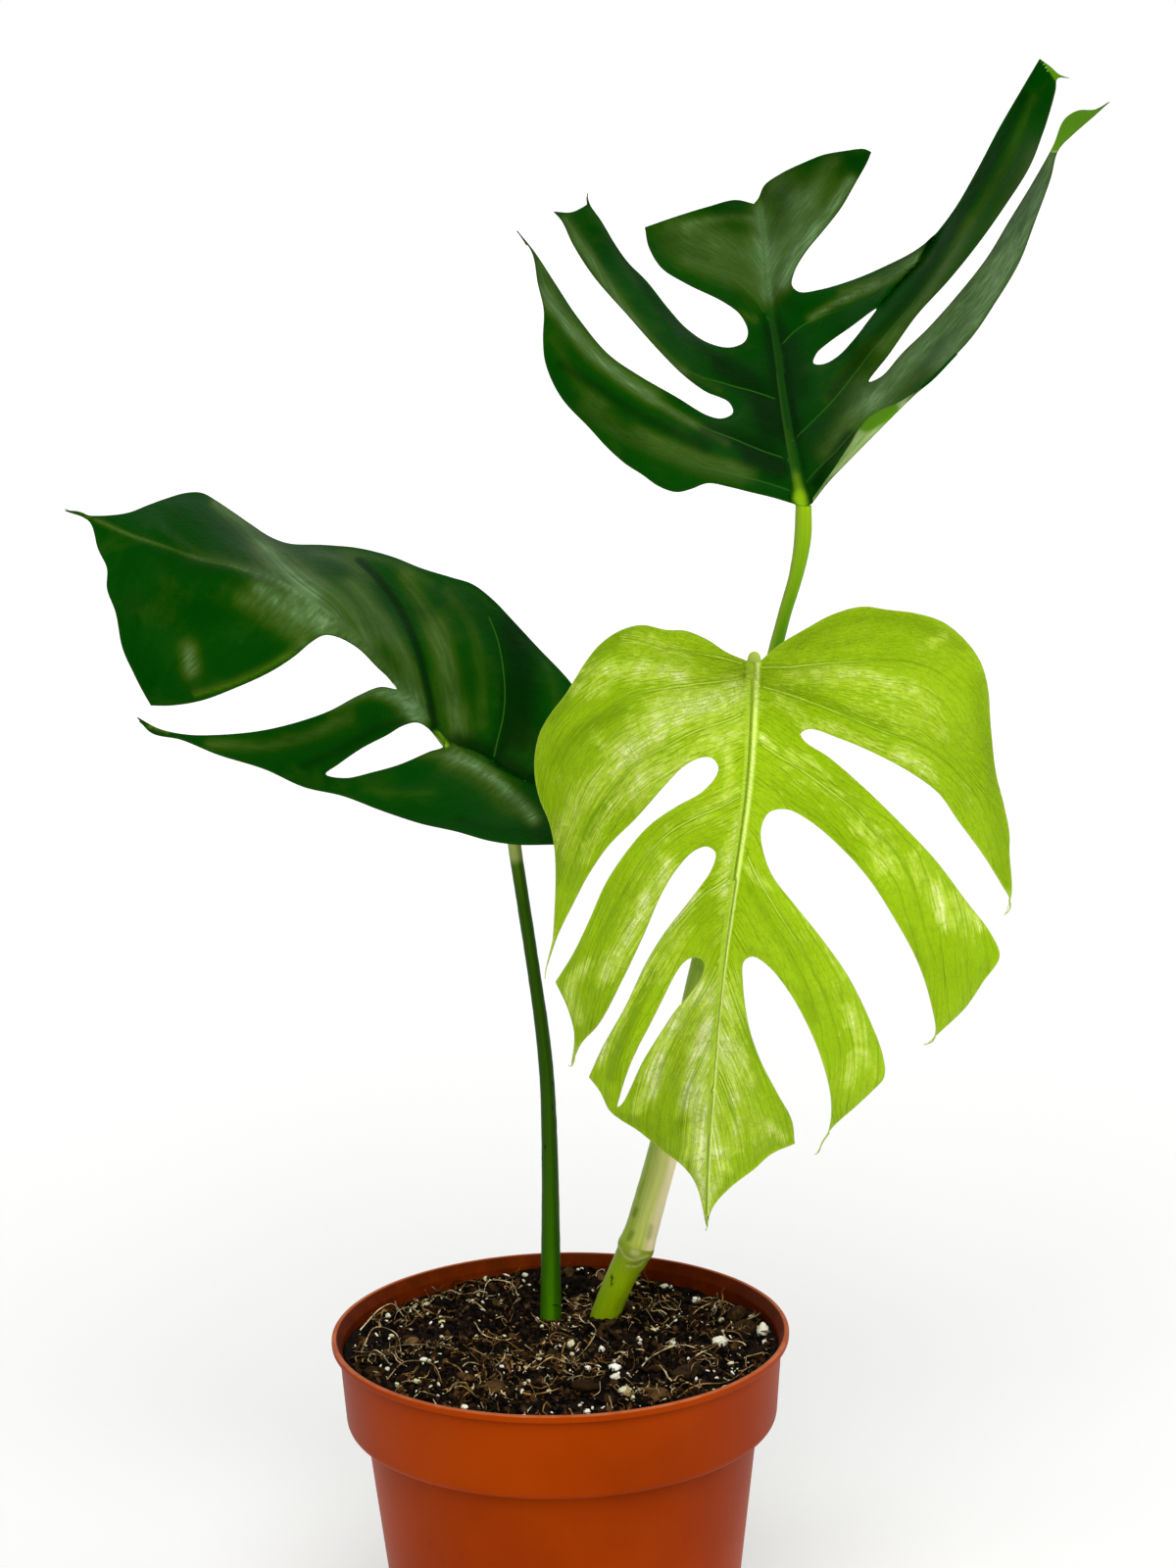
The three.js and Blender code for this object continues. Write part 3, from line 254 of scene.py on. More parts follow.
LEFT_LEAF = {
    "margin": lines_in("""
    66,521 80,522 93,526 112,526 132,523 150,516 172,508 190,503 206,503 222,512 238,523 255,535 275,548
    295,555 330,556 365,559 400,568 430,580 460,589 482,596 502,611 525,635 550,662 582,696 602,727 609,760
    604,786 590,800 575,803; 558,803.5 572,806 588,811 600,824 600,844 586,858; 566,862 530,862 500,858
    465,848 430,840 390,827 350,812 310,803 270,785 222,770 185,755 155,748; 140,732 162,744 190,750 225,750
    265,746 300,738 335,726 365,710 388,701 406,703 399,694 385,681 366,662 345,650 331,648 318,655 300,670
    275,686 240,702 205,715 175,720; 154,720 146,706 137,688 125,661 118,625 109,600 109,580 100,560 91,532
    """),
    "slots": lines_in("""
    332,790 345,780 370,763 395,750 412,740 427,737 441,746 453,761 438,767 408,780 380,788 352,794
    """),
    "midrib": sights_in("""
    88,527 130,544 200,568 245,577 280,590 320,614 370,655 410,700 440,735 466,764 500,784 536,800
    """),
    "marks": sights_in("""
    565,803,30 537,801,32 500,784,33 466,764,35 440,735,37 410,700,39 370,655,41 320,614,44 245,577,48
    200,568,50 150,552,52 93,528,56 66,521,58 582,696,68 550,662,80 525,635,88 482,596,98 430,580,103
    390,566,106 330,556,108 290,554,105 255,535,101 206,503,96 180,505,88 140,521,70 112,526,62 606,760,44
    602,727,56 600,786,34 450,650,66 500,700,57 545,745,46 300,580,70 400,620,76 104,565,50 109,590,44
    118,625,36 137,688,20 154,720,12 210,713,14 275,686,22 320,653,32 406,703,37 200,640,36 260,640,36
    335,726,18 250,748,2 140,732,-10 222,770,-6 310,803,-4 332,790,2 412,740,26 453,761,31 350,812,-6
    430,840,-9 500,858,-8 566,862,-3 600,840,4 596,820,16 470,800,17 430,805,8 530,835,12
    """),
    "creases": lines_in("452,756 462,760 474,763 490,770 506,779 522,790 538,799 552,803"),
    "sheen": strokes_in("""
    8 0.8: 220,513 241,533 266,557 293,583 322,607; 13 0.6: 266,560 296,577 326,598 352,622 380,652; 15 0.7:
    302,607 338,636 370,664 398,694 420,722; 12 0.65: 358,596 384,626 404,658 420,692 431,724; 8 0.5:
    322,564 352,572 378,590; 10 0.75: 262,602 296,624 330,640; 14 0.5: 246,612 276,632 306,650; 22 0.45:
    270,590 300,612 330,640; 12 0.55: 414,590 432,624 446,664 455,706 463,746; 12 0.5: 448,640 464,700
    474,752; 9 0.4: 456,604 480,640 490,690 492,740; 7 0.35: 350,561 400,576 440,596; 8 0.3: 556,676 566,710
    568,742; 10 0.9: 462,771 486,783 508,799 527,816 544,838; 15 0.4: 455,780 490,800 520,828; 6 0.45:
    428,772 452,768; 10 0.85: 340,718 372,707 404,712 430,735; 9 0.55: 215,760 270,762 318,750 356,733; 7
    0.3: 372,806 410,812 440,810; 10 0.75: 193,664 196,684; 14 0.35: 192,660 197,690; 5 0.45: 200,708
    240,695 280,676 310,656; 2.6 0.7: 96,530 131,545 174,560 206,571 243,579 283,593 340,629; 7 0.45:
    200,566 243,575 280,588
    """),
    "deep_tone_and_shade": strokes_in("""
    4.5 1: 366,573 390,597 409,625 426,664 438,712 444,740; 22 0.85: 522,645 532,700 530,752; 9 0.9: 506,768
    518,742 520,700; 7 0.9: 510,778 530,790 548,797; 7 0.55: 310,782 345,768 385,744 412,736; 8 0.4: 470,838
    510,850 550,852
    """),
    # Fresher colour; the second stroke paints a yellow-green reflection along the lower margin.
    "fresh_tone_and_reflection": strokes_in("""
    2.2 0.9: 446,747 456,760; 4 0.3: 200,711 250,694 300,667; 3 0.5: 150,741 172,748; 2.5 0.55: 74,521
    92,527
    """),
    "bright_lines": strokes_in("1.6 0.9: 503,777 507,759 513,734 515,710 513,683 507,652 498,628"),
    "veins_left": lines_in("""
    534,802 508,822 475,838 440,836; 476,770 450,785 410,800 365,805 315,798; 428,721 398,733 350,750
    300,760 250,760 200,755 165,748; 392,680 380,690 350,700 310,705; 322,616 300,640 262,670 215,700
    170,714; 248,579 222,612 190,655 158,700; 190,565 165,592 146,630 136,672; 140,548 127,568 117,600
    """),
    "veins_right": lines_in("""
    534,797 548,786 568,755 580,715; 503,777 507,759 513,734 515,710 513,683 507,652 495,623 482,602;
    444,734 438,706 431,678 422,656 413,634 402,616 388,600 372,583 350,566; 338,624 320,610 292,588 274,571
    251,548 231,527 215,511; 205,568 188,550 168,532 158,518; 140,546 128,536 120,528
    """),
    "threads": lines_in("93,528 80,524 70,521 66,519; 156,746 147,740 142,736"),
}
TOP_LEAF = {
    "margin": lines_in("""
    810,514 790,508 765,502 745,497 722,493 705,499 690,502 672,496 655,484 638,473 620,457 600,435 577,411
    565,392 556,368 554,345 555,316 549,288 543,258; 528,236 545,257 567,290 590,325 620,361 650,382 690,405
    722,424 737,427 748,421 744,410 720,399 697,382 670,355 640,321 605,281 585,250 573,225; 565,216 582,217
    592,213 600,207; 599,198 602,209 613,225 628,250 641,268 660,287 682,315 700,335 722,350 745,355 760,349
    763,338 755,321 738,308 700,289 675,273 662,252; 658,232 690,221 722,211 750,204; 769,208 774,202
    780,189 797,177 820,166 840,158 862,154 882,152; 889,155 885,165 872,188 858,212 840,235 822,257 811,276
    808,291 816,298 836,296 870,286 905,271 935,255 955,238 975,212 998,172 1020,130 1042,92; 1061,60
    1072,68 1081,76; 1092,80 1079,80 1077,92 1064,135 1050,170 1025,210 997,250 968,286 935,322 908,360
    886,390 900,384 920,361 950,332 980,298 1008,262 1030,225 1055,184 1074,150 1086,122 1100,113 1118,112;
    1131,105 1118,117 1096,136 1080,153 1072,182 1056,226 1040,268 1015,310 990,346 955,382 925,411 900,436
    868,468 845,492; 828,514 819,518
    """),
    "slots": lines_in("830,371 833,361 845,350 866,335 895,314 884,330 872,346 855,364 840,372"),
    "midrib": sights_in("""
    819,516 810,470 803,430 797,390 793,360 787,325 783,300 781,270 779,240 775,212
    """),
    "marks": sights_in("""
    819,516,20 810,470,38 803,430,56 797,390,75 793,360,90 787,325,108 783,300,121 779,240,148 775,212,162
    773,200,164 528,236,72 555,316,50 554,350,43 565,392,38 600,435,32 655,484,24 690,502,20 722,493,22
    765,502,20 800,511,19 590,325,58 650,382,54 722,424,58 748,421,62 620,410,44 700,460,36 720,399,67
    697,382,65 670,355,68 640,321,78 605,281,90 565,216,104 599,198,116 613,225,110 660,287,104 700,335,97
    745,355,96 763,338,100 738,308,106 700,289,114 662,252,126 658,232,132 722,211,144 769,208,162
    720,260,130 797,177,156 840,158,148 889,155,138 858,212,130 822,257,120 808,291,112 836,296,106
    880,282,106 935,255,104 975,212,100 1020,130,98 1061,60,100 1092,80,94 1064,135,84 1025,210,76
    968,286,68 908,360,58 886,390,56 830,371,78 860,345,82 872,346,74 895,314,82 920,361,56 950,332,56
    1008,262,60 1074,150,62 1131,105,60 1080,153,58 1056,226,40 1015,310,26 955,382,15 900,436,12 845,492,15
    870,420,38
    """),
    "creases": lines_in("972,212 962,228 952,242 942,257 930,273 918,287 905,302 894,315"),
    "sheen": strokes_in("""
    7 0.75: 553,296 574,330 606,364 640,391 676,415 712,437 742,452; 14 0.6: 546,256 562,300 590,342 626,376
    664,402; 8 0.35: 562,346 585,384 615,412; 14 0.5: 598,416 640,445 676,462 714,477 756,486; 6 0.4:
    650,440 700,462 770,484; 8 0.8: 576,226 600,264 622,296 646,330 668,358 694,380; 7 0.35: 700,382
    735,397; 5 0.35: 600,215 622,245 650,290; 26 0.66: 690,240 730,250 770,262; 15 0.5: 700,265 740,283
    778,300; 14 0.8: 776,215 781,258 786,300; 26 0.74: 800,190 816,215 806,262; 9 0.9: 868,184 842,224
    820,254 800,290; 14 0.62: 850,165 828,205; 5 0.5: 690,300 740,315 770,330; 6 0.6: 700,232 740,222
    768,226; 5 0.8: 828,326 852,312 880,300 912,284 938,262; 7 0.5: 860,300 900,284 938,256; 9 0.55: 900,352
    922,328 946,300 972,262 992,226; 6 0.35: 1000,215 1030,160 1055,100; 9 0.35: 845,410 868,380 890,355; 26
    0.85: 890,408 930,368 975,322 1010,282 1045,215 1072,165; 14 0.8: 960,372 1000,325 1035,265 1062,200; 16
    0.6: 846,462 868,430 895,404
    """),
    "deep_tone_and_shade": strokes_in("""
    15 0.9: 790,340 798,390 806,440; 16 0.85: 740,378 770,400 785,440; 14 0.8: 766,468 795,482; 11 0.7:
    720,440 760,455 790,470; 12 0.5: 822,400 812,350; 6 0.75: 834,494 850,468 868,444; 7 0.6: 622,240
    650,285 690,335 730,370; 8 0.55: 572,372 610,398 660,430 720,460; 9 0.6: 850,404 880,366 915,322 950,275
    985,215 1020,150 1045,100; 12 0.4: 860,175 872,165; 10 0.3: 690,236 672,250
    """),
    "fresh_tone_and_reflection": strokes_in("7 1: 819,519 816,508; 6 0.5: 817,506 813,488; 5 0.22: 811,480 804,440"),
    "veins_left": lines_in("""
    813,504 790,496 750,484 720,477 690,465 640,445 600,420 575,390; 807,470 780,462 750,450 720,438 690,418
    640,388 600,352 565,310 547,270; 799,410 770,401 740,392 700,378 670,350 640,315 620,280 600,245
    588,225; 787,330 765,300 735,278 700,262 672,245; 781,272 765,250 745,232 728,216
    """),
    "veins_right": lines_in("""
    817,500 835,480 850,465 865,448 880,430 910,400 960,345 1010,290 1050,225 1076,170; 807,452 830,430
    850,410 865,392 890,360 905,342 950,285 1000,220 1040,150 1062,90; 793,357 810,340 830,327 860,316
    900,297 940,268; 784,292 797,265 817,235 842,205 868,172; 779,245 789,225 802,205 820,184
    """),
    "threads": lines_in("""
    538,250 531,240 527,235 529,238; 600,209 599,202 600,197; 1120,112 1127,108 1132,104
    """),
    "turned": lines_in("1070,158 1086,118 1100,108 1140,96 1110,135 1086,152; 1057,52 1100,80 1078,84"),
}
# Where the top leaf's outer right edge is rolled forward: the fold, the rolled edge and its fresh patch.
HEM_FOLD = sights_in("830,512 845,492 868,468 900,436 925,411 955,382 976,361")
HEM_EDGE = sights_in("""
    829,509 839,495 853,475 867,453 875,439 885,426 898,418 914,412 934,400 950,388 976,361
""")
HEM_PATCH = sights_in("884,431 897,424 908,419")

# Single pieces on the soil, where they are seen: u,v,length in mm,flatness.
PERLITE_STONES = sights_in("""
    452,1351,3.2,1 433,1389,2.6,1 405,1414,2.2,1 425,1411,2.4,1 474,1437,3,0.7 639,1422,4.6,1 627,1397,4,1
    628,1407,3.2,1 614,1379,2.8,1 583,1373,3.2,1 635,1382,2.2,1 666,1360,2.6,1 653,1372,1.8,1
    650,1312,3.4,0.7 735,1372,5,1 786,1361,5.2,1.3 736,1348,3,0.8 610,1399,2.4,1 599,1441,2.4,1
    732,1407,1.8,1 678,1314,2.8,1 710,1328,3.2,1 488,1322,2.2,1 536,1302,2.4,1 660,1388,1.8,1 560,1420,1.8,1
    512,1396,1.6,1 690,1345,1.8,1 575,1391,1.8,1 468,1412,1.6,1
""")
BARK_LUMPS = sights_in("""
    761,1359,8.5,0.8 777,1342,9.5,0.9 702,1404,12,0.35 596,1417,8,0.7 783,1384,8,0.8 382,1403,7,0.8
    505,1418,8,0.5 540,1385,6,0.6 670,1425,9,0.4 420,1372,7,0.5 640,1335,6,0.6
""")
# Long fibres over the soil: [thickness in mm, tone, lift in mm: line].
LONG_ROOTS = strokes_in("""
    0.5 0.95 1.5: 649,1404 668,1389 696,1379 727,1386; 0.7 0.7 1: 577,1373 574,1386 573,1400; 0.5 1 2:
    360,1358 370,1342 392,1337 412,1346; 0.45 0.9 2: 368,1384 384,1362 404,1368 410,1388; 0.5 0.8 1.5:
    395,1410 414,1396 440,1398 452,1414; 0.45 0.95 1.5: 484,1352 497,1370 516,1374 530,1362; 0.5 0.75 1:
    520,1412 540,1428 566,1424 580,1410; 0.6 0.65 1.2: 455,1392 470,1404 480,1424 500,1434; 0.45 0.85 1.5:
    600,1350 608,1364 600,1380 588,1390; 0.5 0.8 1.5: 700,1352 716,1340 738,1334 756,1340; 0.45 0.9 1.2:
    436,1334 454,1324 476,1326 492,1318; 0.5 0.7 1.5: 690,1430 712,1420 738,1418 758,1404; 0.4 0.95 2:
    530,1330 520,1316 500,1314 492,1328
""")


def linear(hex_colour):
    """An sRGB hex colour as linear RGBA."""
    channels = [int(hex_colour[k:k + 2], 16) / 255 for k in (1, 3, 5)]
    return (*[c / 12.92 if c <= 0.04045 else ((c + 0.055) / 1.055) ** 2.4 for c in channels], 1)


def sized(size):
    """The scale of a pattern, from the real width in mm of what repeats in it. A width has as many digits
    as keep the pattern in its place on a large piece."""
    return 1 / (size * MM)


def node(tree, kind, inputs=None, tones=(), **settings):
    """Adds a node of a kind, written without its ShaderNode. inputs gives each socket, by name or number,
    its value or the node or socket that feeds it, a node from its first live output. tones are a colour
    ramp's stops: [place, hex colour]."""
    made = tree.nodes.new(kind if "Node" in kind else "ShaderNode" + kind)
    for name, value in settings.items():
        setattr(made, name, value)
    for key, value in (inputs or {}).items():
        socket = made.inputs[key] if isinstance(key, int) else next(
            end for end in made.inputs if end.name == key and end.enabled)
        if isinstance(value, bpy.types.Node):
            value = next(end for end in value.outputs if end.enabled)
        if isinstance(value, bpy.types.NodeSocket):
            tree.links.new(value, socket)
        else:
            socket.default_value = value
    if tones:
        stops = made.color_ramp.elements
        stops.remove(stops[1])
        stops[0].position, stops[0].color = tones[0][0], linear(tones[0][1])
        for place, tone in tones[1:]:
            stops.new(place).color = linear(tone)
    return made


def layered(tree, shade, *layers):
    """Colours laid over a shade, one after the other. Each is [colour, where, low, high, least, most]: its
    share goes from least to most as the field where goes from low to high."""
    for colour, where, low, high, least, most in layers:
        share = node(tree, "MapRange", {
            "Value": where, "From Min": low, "From Max": high, "To Min": least, "To Max": most},
            interpolation_type="SMOOTHSTEP")
        shade = node(tree, "Mix", {"Factor": share, "A": shade, "B": linear(colour)},
                     data_type="RGBA")
    return shade


def new_material(name):
    """An empty material, its tree, and where its surface lies in the object."""
    made = bpy.data.materials.new(name)
    made.use_nodes = True
    tree = made.node_tree
    tree.nodes.clear()
    return made, tree, node(tree, "TexCoord").outputs["Object"]


def read_fields(tree, names):
    """The piece's own fields, which its mesh carries as attributes."""
    return {name: node(tree, "Attribute", attribute_name=name).outputs["Fac"] for name in names}


def surfaced(tree, look, relief=None, height=0.1):
    """Ends a material with its Principled surface. relief is a pattern that stands up by height, in mm."""
    if relief is not None:
        look = look | {"Normal": node(tree, "Bump", {"Height": relief, "Distance": height * MM})}
    shader = node(tree, "BsdfPrincipled", look)
    node(tree, "OutputMaterial", {"Surface": shader})


# Potting and pot finishes.
def moulded_polypropylene():
    """Terracotta-coloured polypropylene: satin and smooth, with a faint flow of tone, a paler lip, partly
    rubbed and partly a painted highlight, and an inner wall darkened in patches by soil stains and painted
    shade."""
    made, tree, place = new_material("terracotta_polypropylene")
    cloud = node(tree, "TexNoise", {"Vector": place, "Scale": sized(62.5), "Detail": 4.0})
    patches = node(tree, "TexNoise", {
        "Vector": place, "Scale": sized(16.6667), "Detail": 5.0, "Roughness": 0.7})
    # The mould's own grain is finer: this is as fine as still shows.
    grain = node(tree, "TexNoise", {"Vector": place, "Scale": sized(1.11111)})
    parts = node(tree, "SeparateXYZ", {0: place}).outputs
    # Painted highlight, with some rubbing, on the lip: paler within 0.7 mm of the top.
    wear_and_highlight = node(tree, "MapRange", {
        "Value": parts["Z"], "From Min": (POT_HEIGHT - 0.7) * MM, "From Max": (POT_HEIGHT - 0.2) * MM})
    wear_and_highlight = node(tree, "Math", {0: wear_and_highlight, 1: patches}, operation="MULTIPLY")
    # Outwards this is positive, on the inner wall negative.
    level = node(tree, "CombineXYZ", {"X": parts["X"], "Y": parts["Y"]})
    normal = node(tree, "TexCoord").outputs["Normal"]
    facing = node(tree, "VectorMath", {0: normal, 1: level}, operation="DOT_PRODUCT")
    inner = node(tree, "MapRange", {"Value": facing, "From Min": -0.012, "From Max": -0.045})
    # Painted shade and soil stains darken the inner wall in noisy patches.
    soil_stain_and_shade = node(tree, "Math", {0: patches, 1: 0.42}, operation="ADD")
    soil_stain_and_shade = node(tree, "Math", {0: inner, 1: soil_stain_and_shade}, operation="MULTIPLY")
    # Specks of dried soil, where a slow noise lets them be.
    specks = node(tree, "TexVoronoi", {"Vector": place, "Scale": sized(10.5263)})
    thin = node(tree, "TexNoise", {"Vector": place, "Scale": sized(25), "Detail": 1.0})
    near = node(tree, "Math", {0: thin, 1: specks}, operation="SUBTRACT")
    shade = layered(
        tree, linear("#8C2E00"),
        ("#9C3700", cloud, 0.35, 0.68, 0.0, 1.0),
        ("#C07048", wear_and_highlight, 0.15, 0.7, 0.0, 0.8),
        ("#3E1402", soil_stain_and_shade, 0.2, 1.1, 0.0, 0.9),
        ("#4A1C08", near, 0.56, 0.6, 0.0, 0.8))
    surfaced(tree, {"Base Color": shade, "Roughness": 0.46, "Specular IOR Level": 0.05,
                    "Specular Tint": linear("#FFB070")}, grain, 0.03)
    return made


def damp_peat():
    """Damp milled peat: near black in its hollows, browner on its crumbs of about 4 mm, and matt."""
    made, tree, place = new_material("damp_peat")
    cloud = node(tree, "TexNoise", {
        "Vector": place, "Scale": sized(3.84615), "Detail": 6.0, "Roughness": 0.65})
    fine = node(tree, "TexNoise", {"Vector": place, "Scale": sized(0.549451), "Detail": 3.0})
    shade = layered(tree, linear("#050302"), ("#1C120A", cloud, 0.38, 0.7, 0.0, 1.0))
    surfaced(tree, {"Base Color": shade, "Roughness": 0.9, "Specular IOR Level": 0.08}, fine, 0.5)
    return made


def toned(name, tones, roughness, grain, bump, dimmed=0.35):
    """A natural grain or fibre: each one has its own tone, from its tone attribute, and darker, dimmed spots.
    grain is the width of its surface's grain and bump the height, in mm."""
    made, tree, place = new_material(name)
    ramp = node(tree, "ValToRGB", {"Fac": read_fields(tree, ["tone"])["tone"]},
                [(k / (len(tones) - 1), colour) for k, colour in enumerate(tones)])
    fine = node(tree, "TexNoise", {"Vector": place, "Scale": sized(grain), "Detail": 4.0})
    darker = node(tree, "HueSaturation", {"Color": ramp, "Value": dimmed})
    cloud = node(tree, "TexNoise", {"Vector": place, "Scale": sized(8.33333), "Detail": 2.0})
    spots = node(tree, "Math", {0: fine, 1: cloud}, operation="ADD")
    spots = node(tree, "MapRange", {"Value": spots, "From Min": 0.85, "From Max": 1.15})
    shade = node(tree, "Mix", {"Factor": spots, "A": darker, "B": ramp}, data_type="RGBA")
    surfaced(tree, {"Base Color": shade, "Roughness": roughness, "Specular IOR Level": 0.06}, fine, bump)
    return made


# Leaf and stem finishes. A blade carries its own fields, point by point: how far across and along its side
# veins a place lies, where veins, midrib and edge are, where a painted highlight runs on the midrib,
# where sheen and highlights are painted, where painted shade darkens it with a deeper tone, and where
# it is fresher in colour or, on the left leaf's lower margin, has a painted reflection.
BLADE_FIELDS = ("across", "along", "side", "sheen", "deep_tone_and_shade", "fresh_tone_and_reflection", "vein", "rib", "crest_highlight", "edge")
# The grain of a cuticle, in mm. The real one is finer: it is drawn as coarse as it needs to show.
CUTICLE_GRAIN = 2.38095


def blade_patterns(tree):
    """A blade's fields, and streaks that run along its side veins."""
    field = read_fields(tree, BLADE_FIELDS)
    flow = node(tree, "CombineXYZ", {"X": field["across"], "Y": field["along"], "Z": field["side"]})
    return field, node(tree, "TexNoise", {"Vector": flow, "Detail": 4.0, "Roughness": 0.5})


def young_cuticle():
    """A newly opened blade: thin, soft yellow-green cuticle, still crinkled, with broad, pale painted
    highlights.
    """
    made, tree, place = new_material("young_leaf_cuticle")
    field, streaks = blade_patterns(tree)
    cloud = node(tree, "TexNoise", {"Vector": place, "Scale": sized(33.3333), "Detail": 4.0})
    # Fine veins run between the side veins: 0 on a line, up to 0.5.
    course = node(tree, "Math", {0: field["across"], 1: FINE_VEINS / ACROSS_SCALE, 2: cloud},
                  operation="MULTIPLY_ADD")
    fine_veins = node(tree, "Math", {0: course, 1: 0.5}, operation="PINGPONG")
    crinkle = node(tree, "TexNoise", {
        "Vector": place, "Scale": sized(6.25), "Detail": 5.0, "Roughness": 0.62, "Distortion": 1.0})
    # The net of the finest veins has meshes of about 1 mm: it is drawn coarser, so that it shows.
    net = node(tree, "TexVoronoi", {"Vector": place, "Scale": sized(3.84615)},
               feature="DISTANCE_TO_EDGE")
    # The gloss, painted as pale highlights and also lowering the roughness, breaks up along the fine veins
    # and over the crinkles.
    gloss_and_painted_highlight = node(tree, "Math", {0: streaks, 1: 1.6, 2: field["sheen"]}, operation="MULTIPLY_ADD")
    gloss_and_painted_highlight = node(tree, "Math", {0: crinkle, 1: gloss_and_painted_highlight}, operation="ADD")
    # Where the painted highlight is strongest, the crinkles show in it as thin dark furrows of painted shade.
    furrow_shade = node(tree, "Math", {0: crinkle, 1: 0.5}, operation="SUBTRACT")
    furrow_shade = node(tree, "Math", {0: furrow_shade}, operation="ABSOLUTE")
    furrow_shade = node(tree, "Math", {0: field["sheen"], 1: -0.05, 2: furrow_shade}, operation="MULTIPLY_ADD")
    shade = layered(
        tree, linear("#90B804"),
        ("#9EC412", cloud, 0.32, 0.68, 0.0, 1.0),
        # Painted shade and a deeper green tone, from the blade's shade strokes.
        ("#7CA200", field["deep_tone_and_shade"], 0.05, 0.9, 0.0, 0.9),
        # Painted highlights: pale and near-white patches where the gloss field is high.
        ("#BEDA44", gloss_and_painted_highlight, 1.48, 1.98, 0.0, 0.9),
        ("#F4FCB0", gloss_and_painted_highlight, 1.92, 2.5, 0.0, 1.0),
        # Painted shade: thin dark furrows in the strongest highlights.
        ("#769A10", furrow_shade, -0.05, -0.022, 0.7, 0.0),
        ("#6E9400", fine_veins, 0.0, 0.045, 0.5, 0.0),
        ("#789C00", net, 0.0, 0.07, 0.25, 0.0),
        # Painted shade in the grooves beside each side vein, darker around its pale core.
        ("#729C00", field["vein"], 0.03, 0.5, 0.0, 0.6),
        ("#CCEA50", field["vein"], 0.6, 0.95, 0.0, 0.9),
        ("#B4D838", field["rib"], 0.1, 0.3, 0.0, 1.0),
        # A painted highlight along one flank of the midrib's ridge.
        ("#E4F884", field["crest_highlight"], 0.1, 0.9, 0.0, 1.0),
        ("#A8BE4A", field["edge"], 0.0, 0.6, 0.8, 0.0))
    rough = node(tree, "MapRange", {
        "Value": gloss_and_painted_highlight, "From Min": 1.4, "From Max": 2.3, "To Min": 0.45, "To Max": 0.28})
    relief = node(tree, "Math", {0: crinkle, 1: 0.5, 2: streaks}, operation="MULTIPLY_ADD")
    surfaced(tree, {"Base Color": shade, "Roughness": rough, "Specular IOR Level": 0.2,
                    "Specular Tint": linear("#F2FF80")}, relief, 1.3)
    return made


def dark_cuticle():
    """A hardened blade: dark green and leathery, with grey-green sheen painted on in broad, streaky patches.
    """
    made, tree, place = new_material("mature_leaf_cuticle")
    field, streaks = blade_patterns(tree)
    cloud = node(tree, "TexNoise", {"Vector": place, "Scale": sized(33.3333), "Detail": 4.0})
    fine = node(tree, "TexNoise", {"Vector": place, "Scale": sized(CUTICLE_GRAIN), "Detail": 3.0})
    mottle = node(tree, "TexNoise", {
        "Vector": place, "Scale": sized(18.1818), "Detail": 5.0, "Roughness": 0.6, "Distortion": 0.6})
    # Painted sheen: strongest where the sheen strokes lie, and broken up into streaks along the veins and
    # soft clouds.
    broken = node(tree, "Math", {0: streaks, 1: 0.8, 2: 0.38}, operation="MULTIPLY_ADD")
    broken = node(tree, "Math", {0: mottle, 1: 0.35, 2: broken}, operation="MULTIPLY_ADD")
    painted_sheen = node(tree, "Math", {0: field["sheen"], 1: broken}, operation="MULTIPLY")
    painted_sheen_tones = node(tree, "ValToRGB", {"Fac": painted_sheen}, [
        (0.0, "#003A00"), (0.2, "#0A3E00"), (0.42, "#264806"), (0.62, "#3A561C"), (0.82, "#4C6A38"),
        (1.0, "#688A58")])
    shade = layered(
        tree, painted_sheen_tones,
        ("#032F00", cloud, 0.46, 0.68, 0.0, 0.5),
        ("#2A4A08", mottle, 0.52, 0.7, 0.0, 0.3),
        # Painted shade and a deeper green tone, from the blade's shade strokes.
        ("#002000", field["deep_tone_and_shade"], 0.05, 0.9, 0.0, 0.9),
        ("#2C6810", field["vein"], 0.5, 0.85, 0.0, 0.65),
        ("#1A500A", field["rib"], 0.05, 0.3, 0.0, 0.4),
        # A painted highlight along one flank of the midrib's ridge.
        ("#4E7A26", field["crest_highlight"], 0.2, 0.95, 0.0, 0.35),
        # Fresher green, and on the left leaf's lower margin a painted reflection.
        ("#84AE10", field["fresh_tone_and_reflection"], 0.1, 1.0, 0.0, 1.0),
        ("#1C3808", field["edge"], 0.0, 0.6, 0.6, 0.0))
    rough = node(tree, "MapRange", {"Value": painted_sheen, "To Min": 0.44, "To Max": 0.34})
    relief = node(tree, "Math", {0: fine, 1: 0.4, 2: mottle}, operation="MULTIPLY_ADD")
    surfaced(tree, {"Base Color": shade, "Roughness": rough, "Specular IOR Level": 0.03,
                    "Specular Tint": linear("#C8FF90")}, relief, 0.6)
    return made


def underside(name, low, high, vein_colour, fresh_colour):
    """The lower face of a blade: matt, paler, with raised veins, fresher green where it is turned forward."""
    made, tree, place = new_material(name)
    field, streaks = blade_patterns(tree)
    shade = layered(
        tree, linear(low),
        (high, streaks, 0.35, 0.7, 0.0, 1.0),
        (vein_colour, field["vein"], 0.4, 0.9, 0.0, 0.8),
        (vein_colour, field["rib"], 0.1, 0.4, 0.0, 1.0),
        (fresh_colour, field["fresh_tone_and_reflection"], 0.0, 0.45, 0.0, 1.0))
    fine = node(tree, "TexNoise", {"Vector": place, "Scale": sized(CUTICLE_GRAIN), "Detail": 3.0})
    surfaced(tree, {"Base Color": shade, "Roughness": 0.55, "Specular IOR Level": 0.05}, fine)
    return made


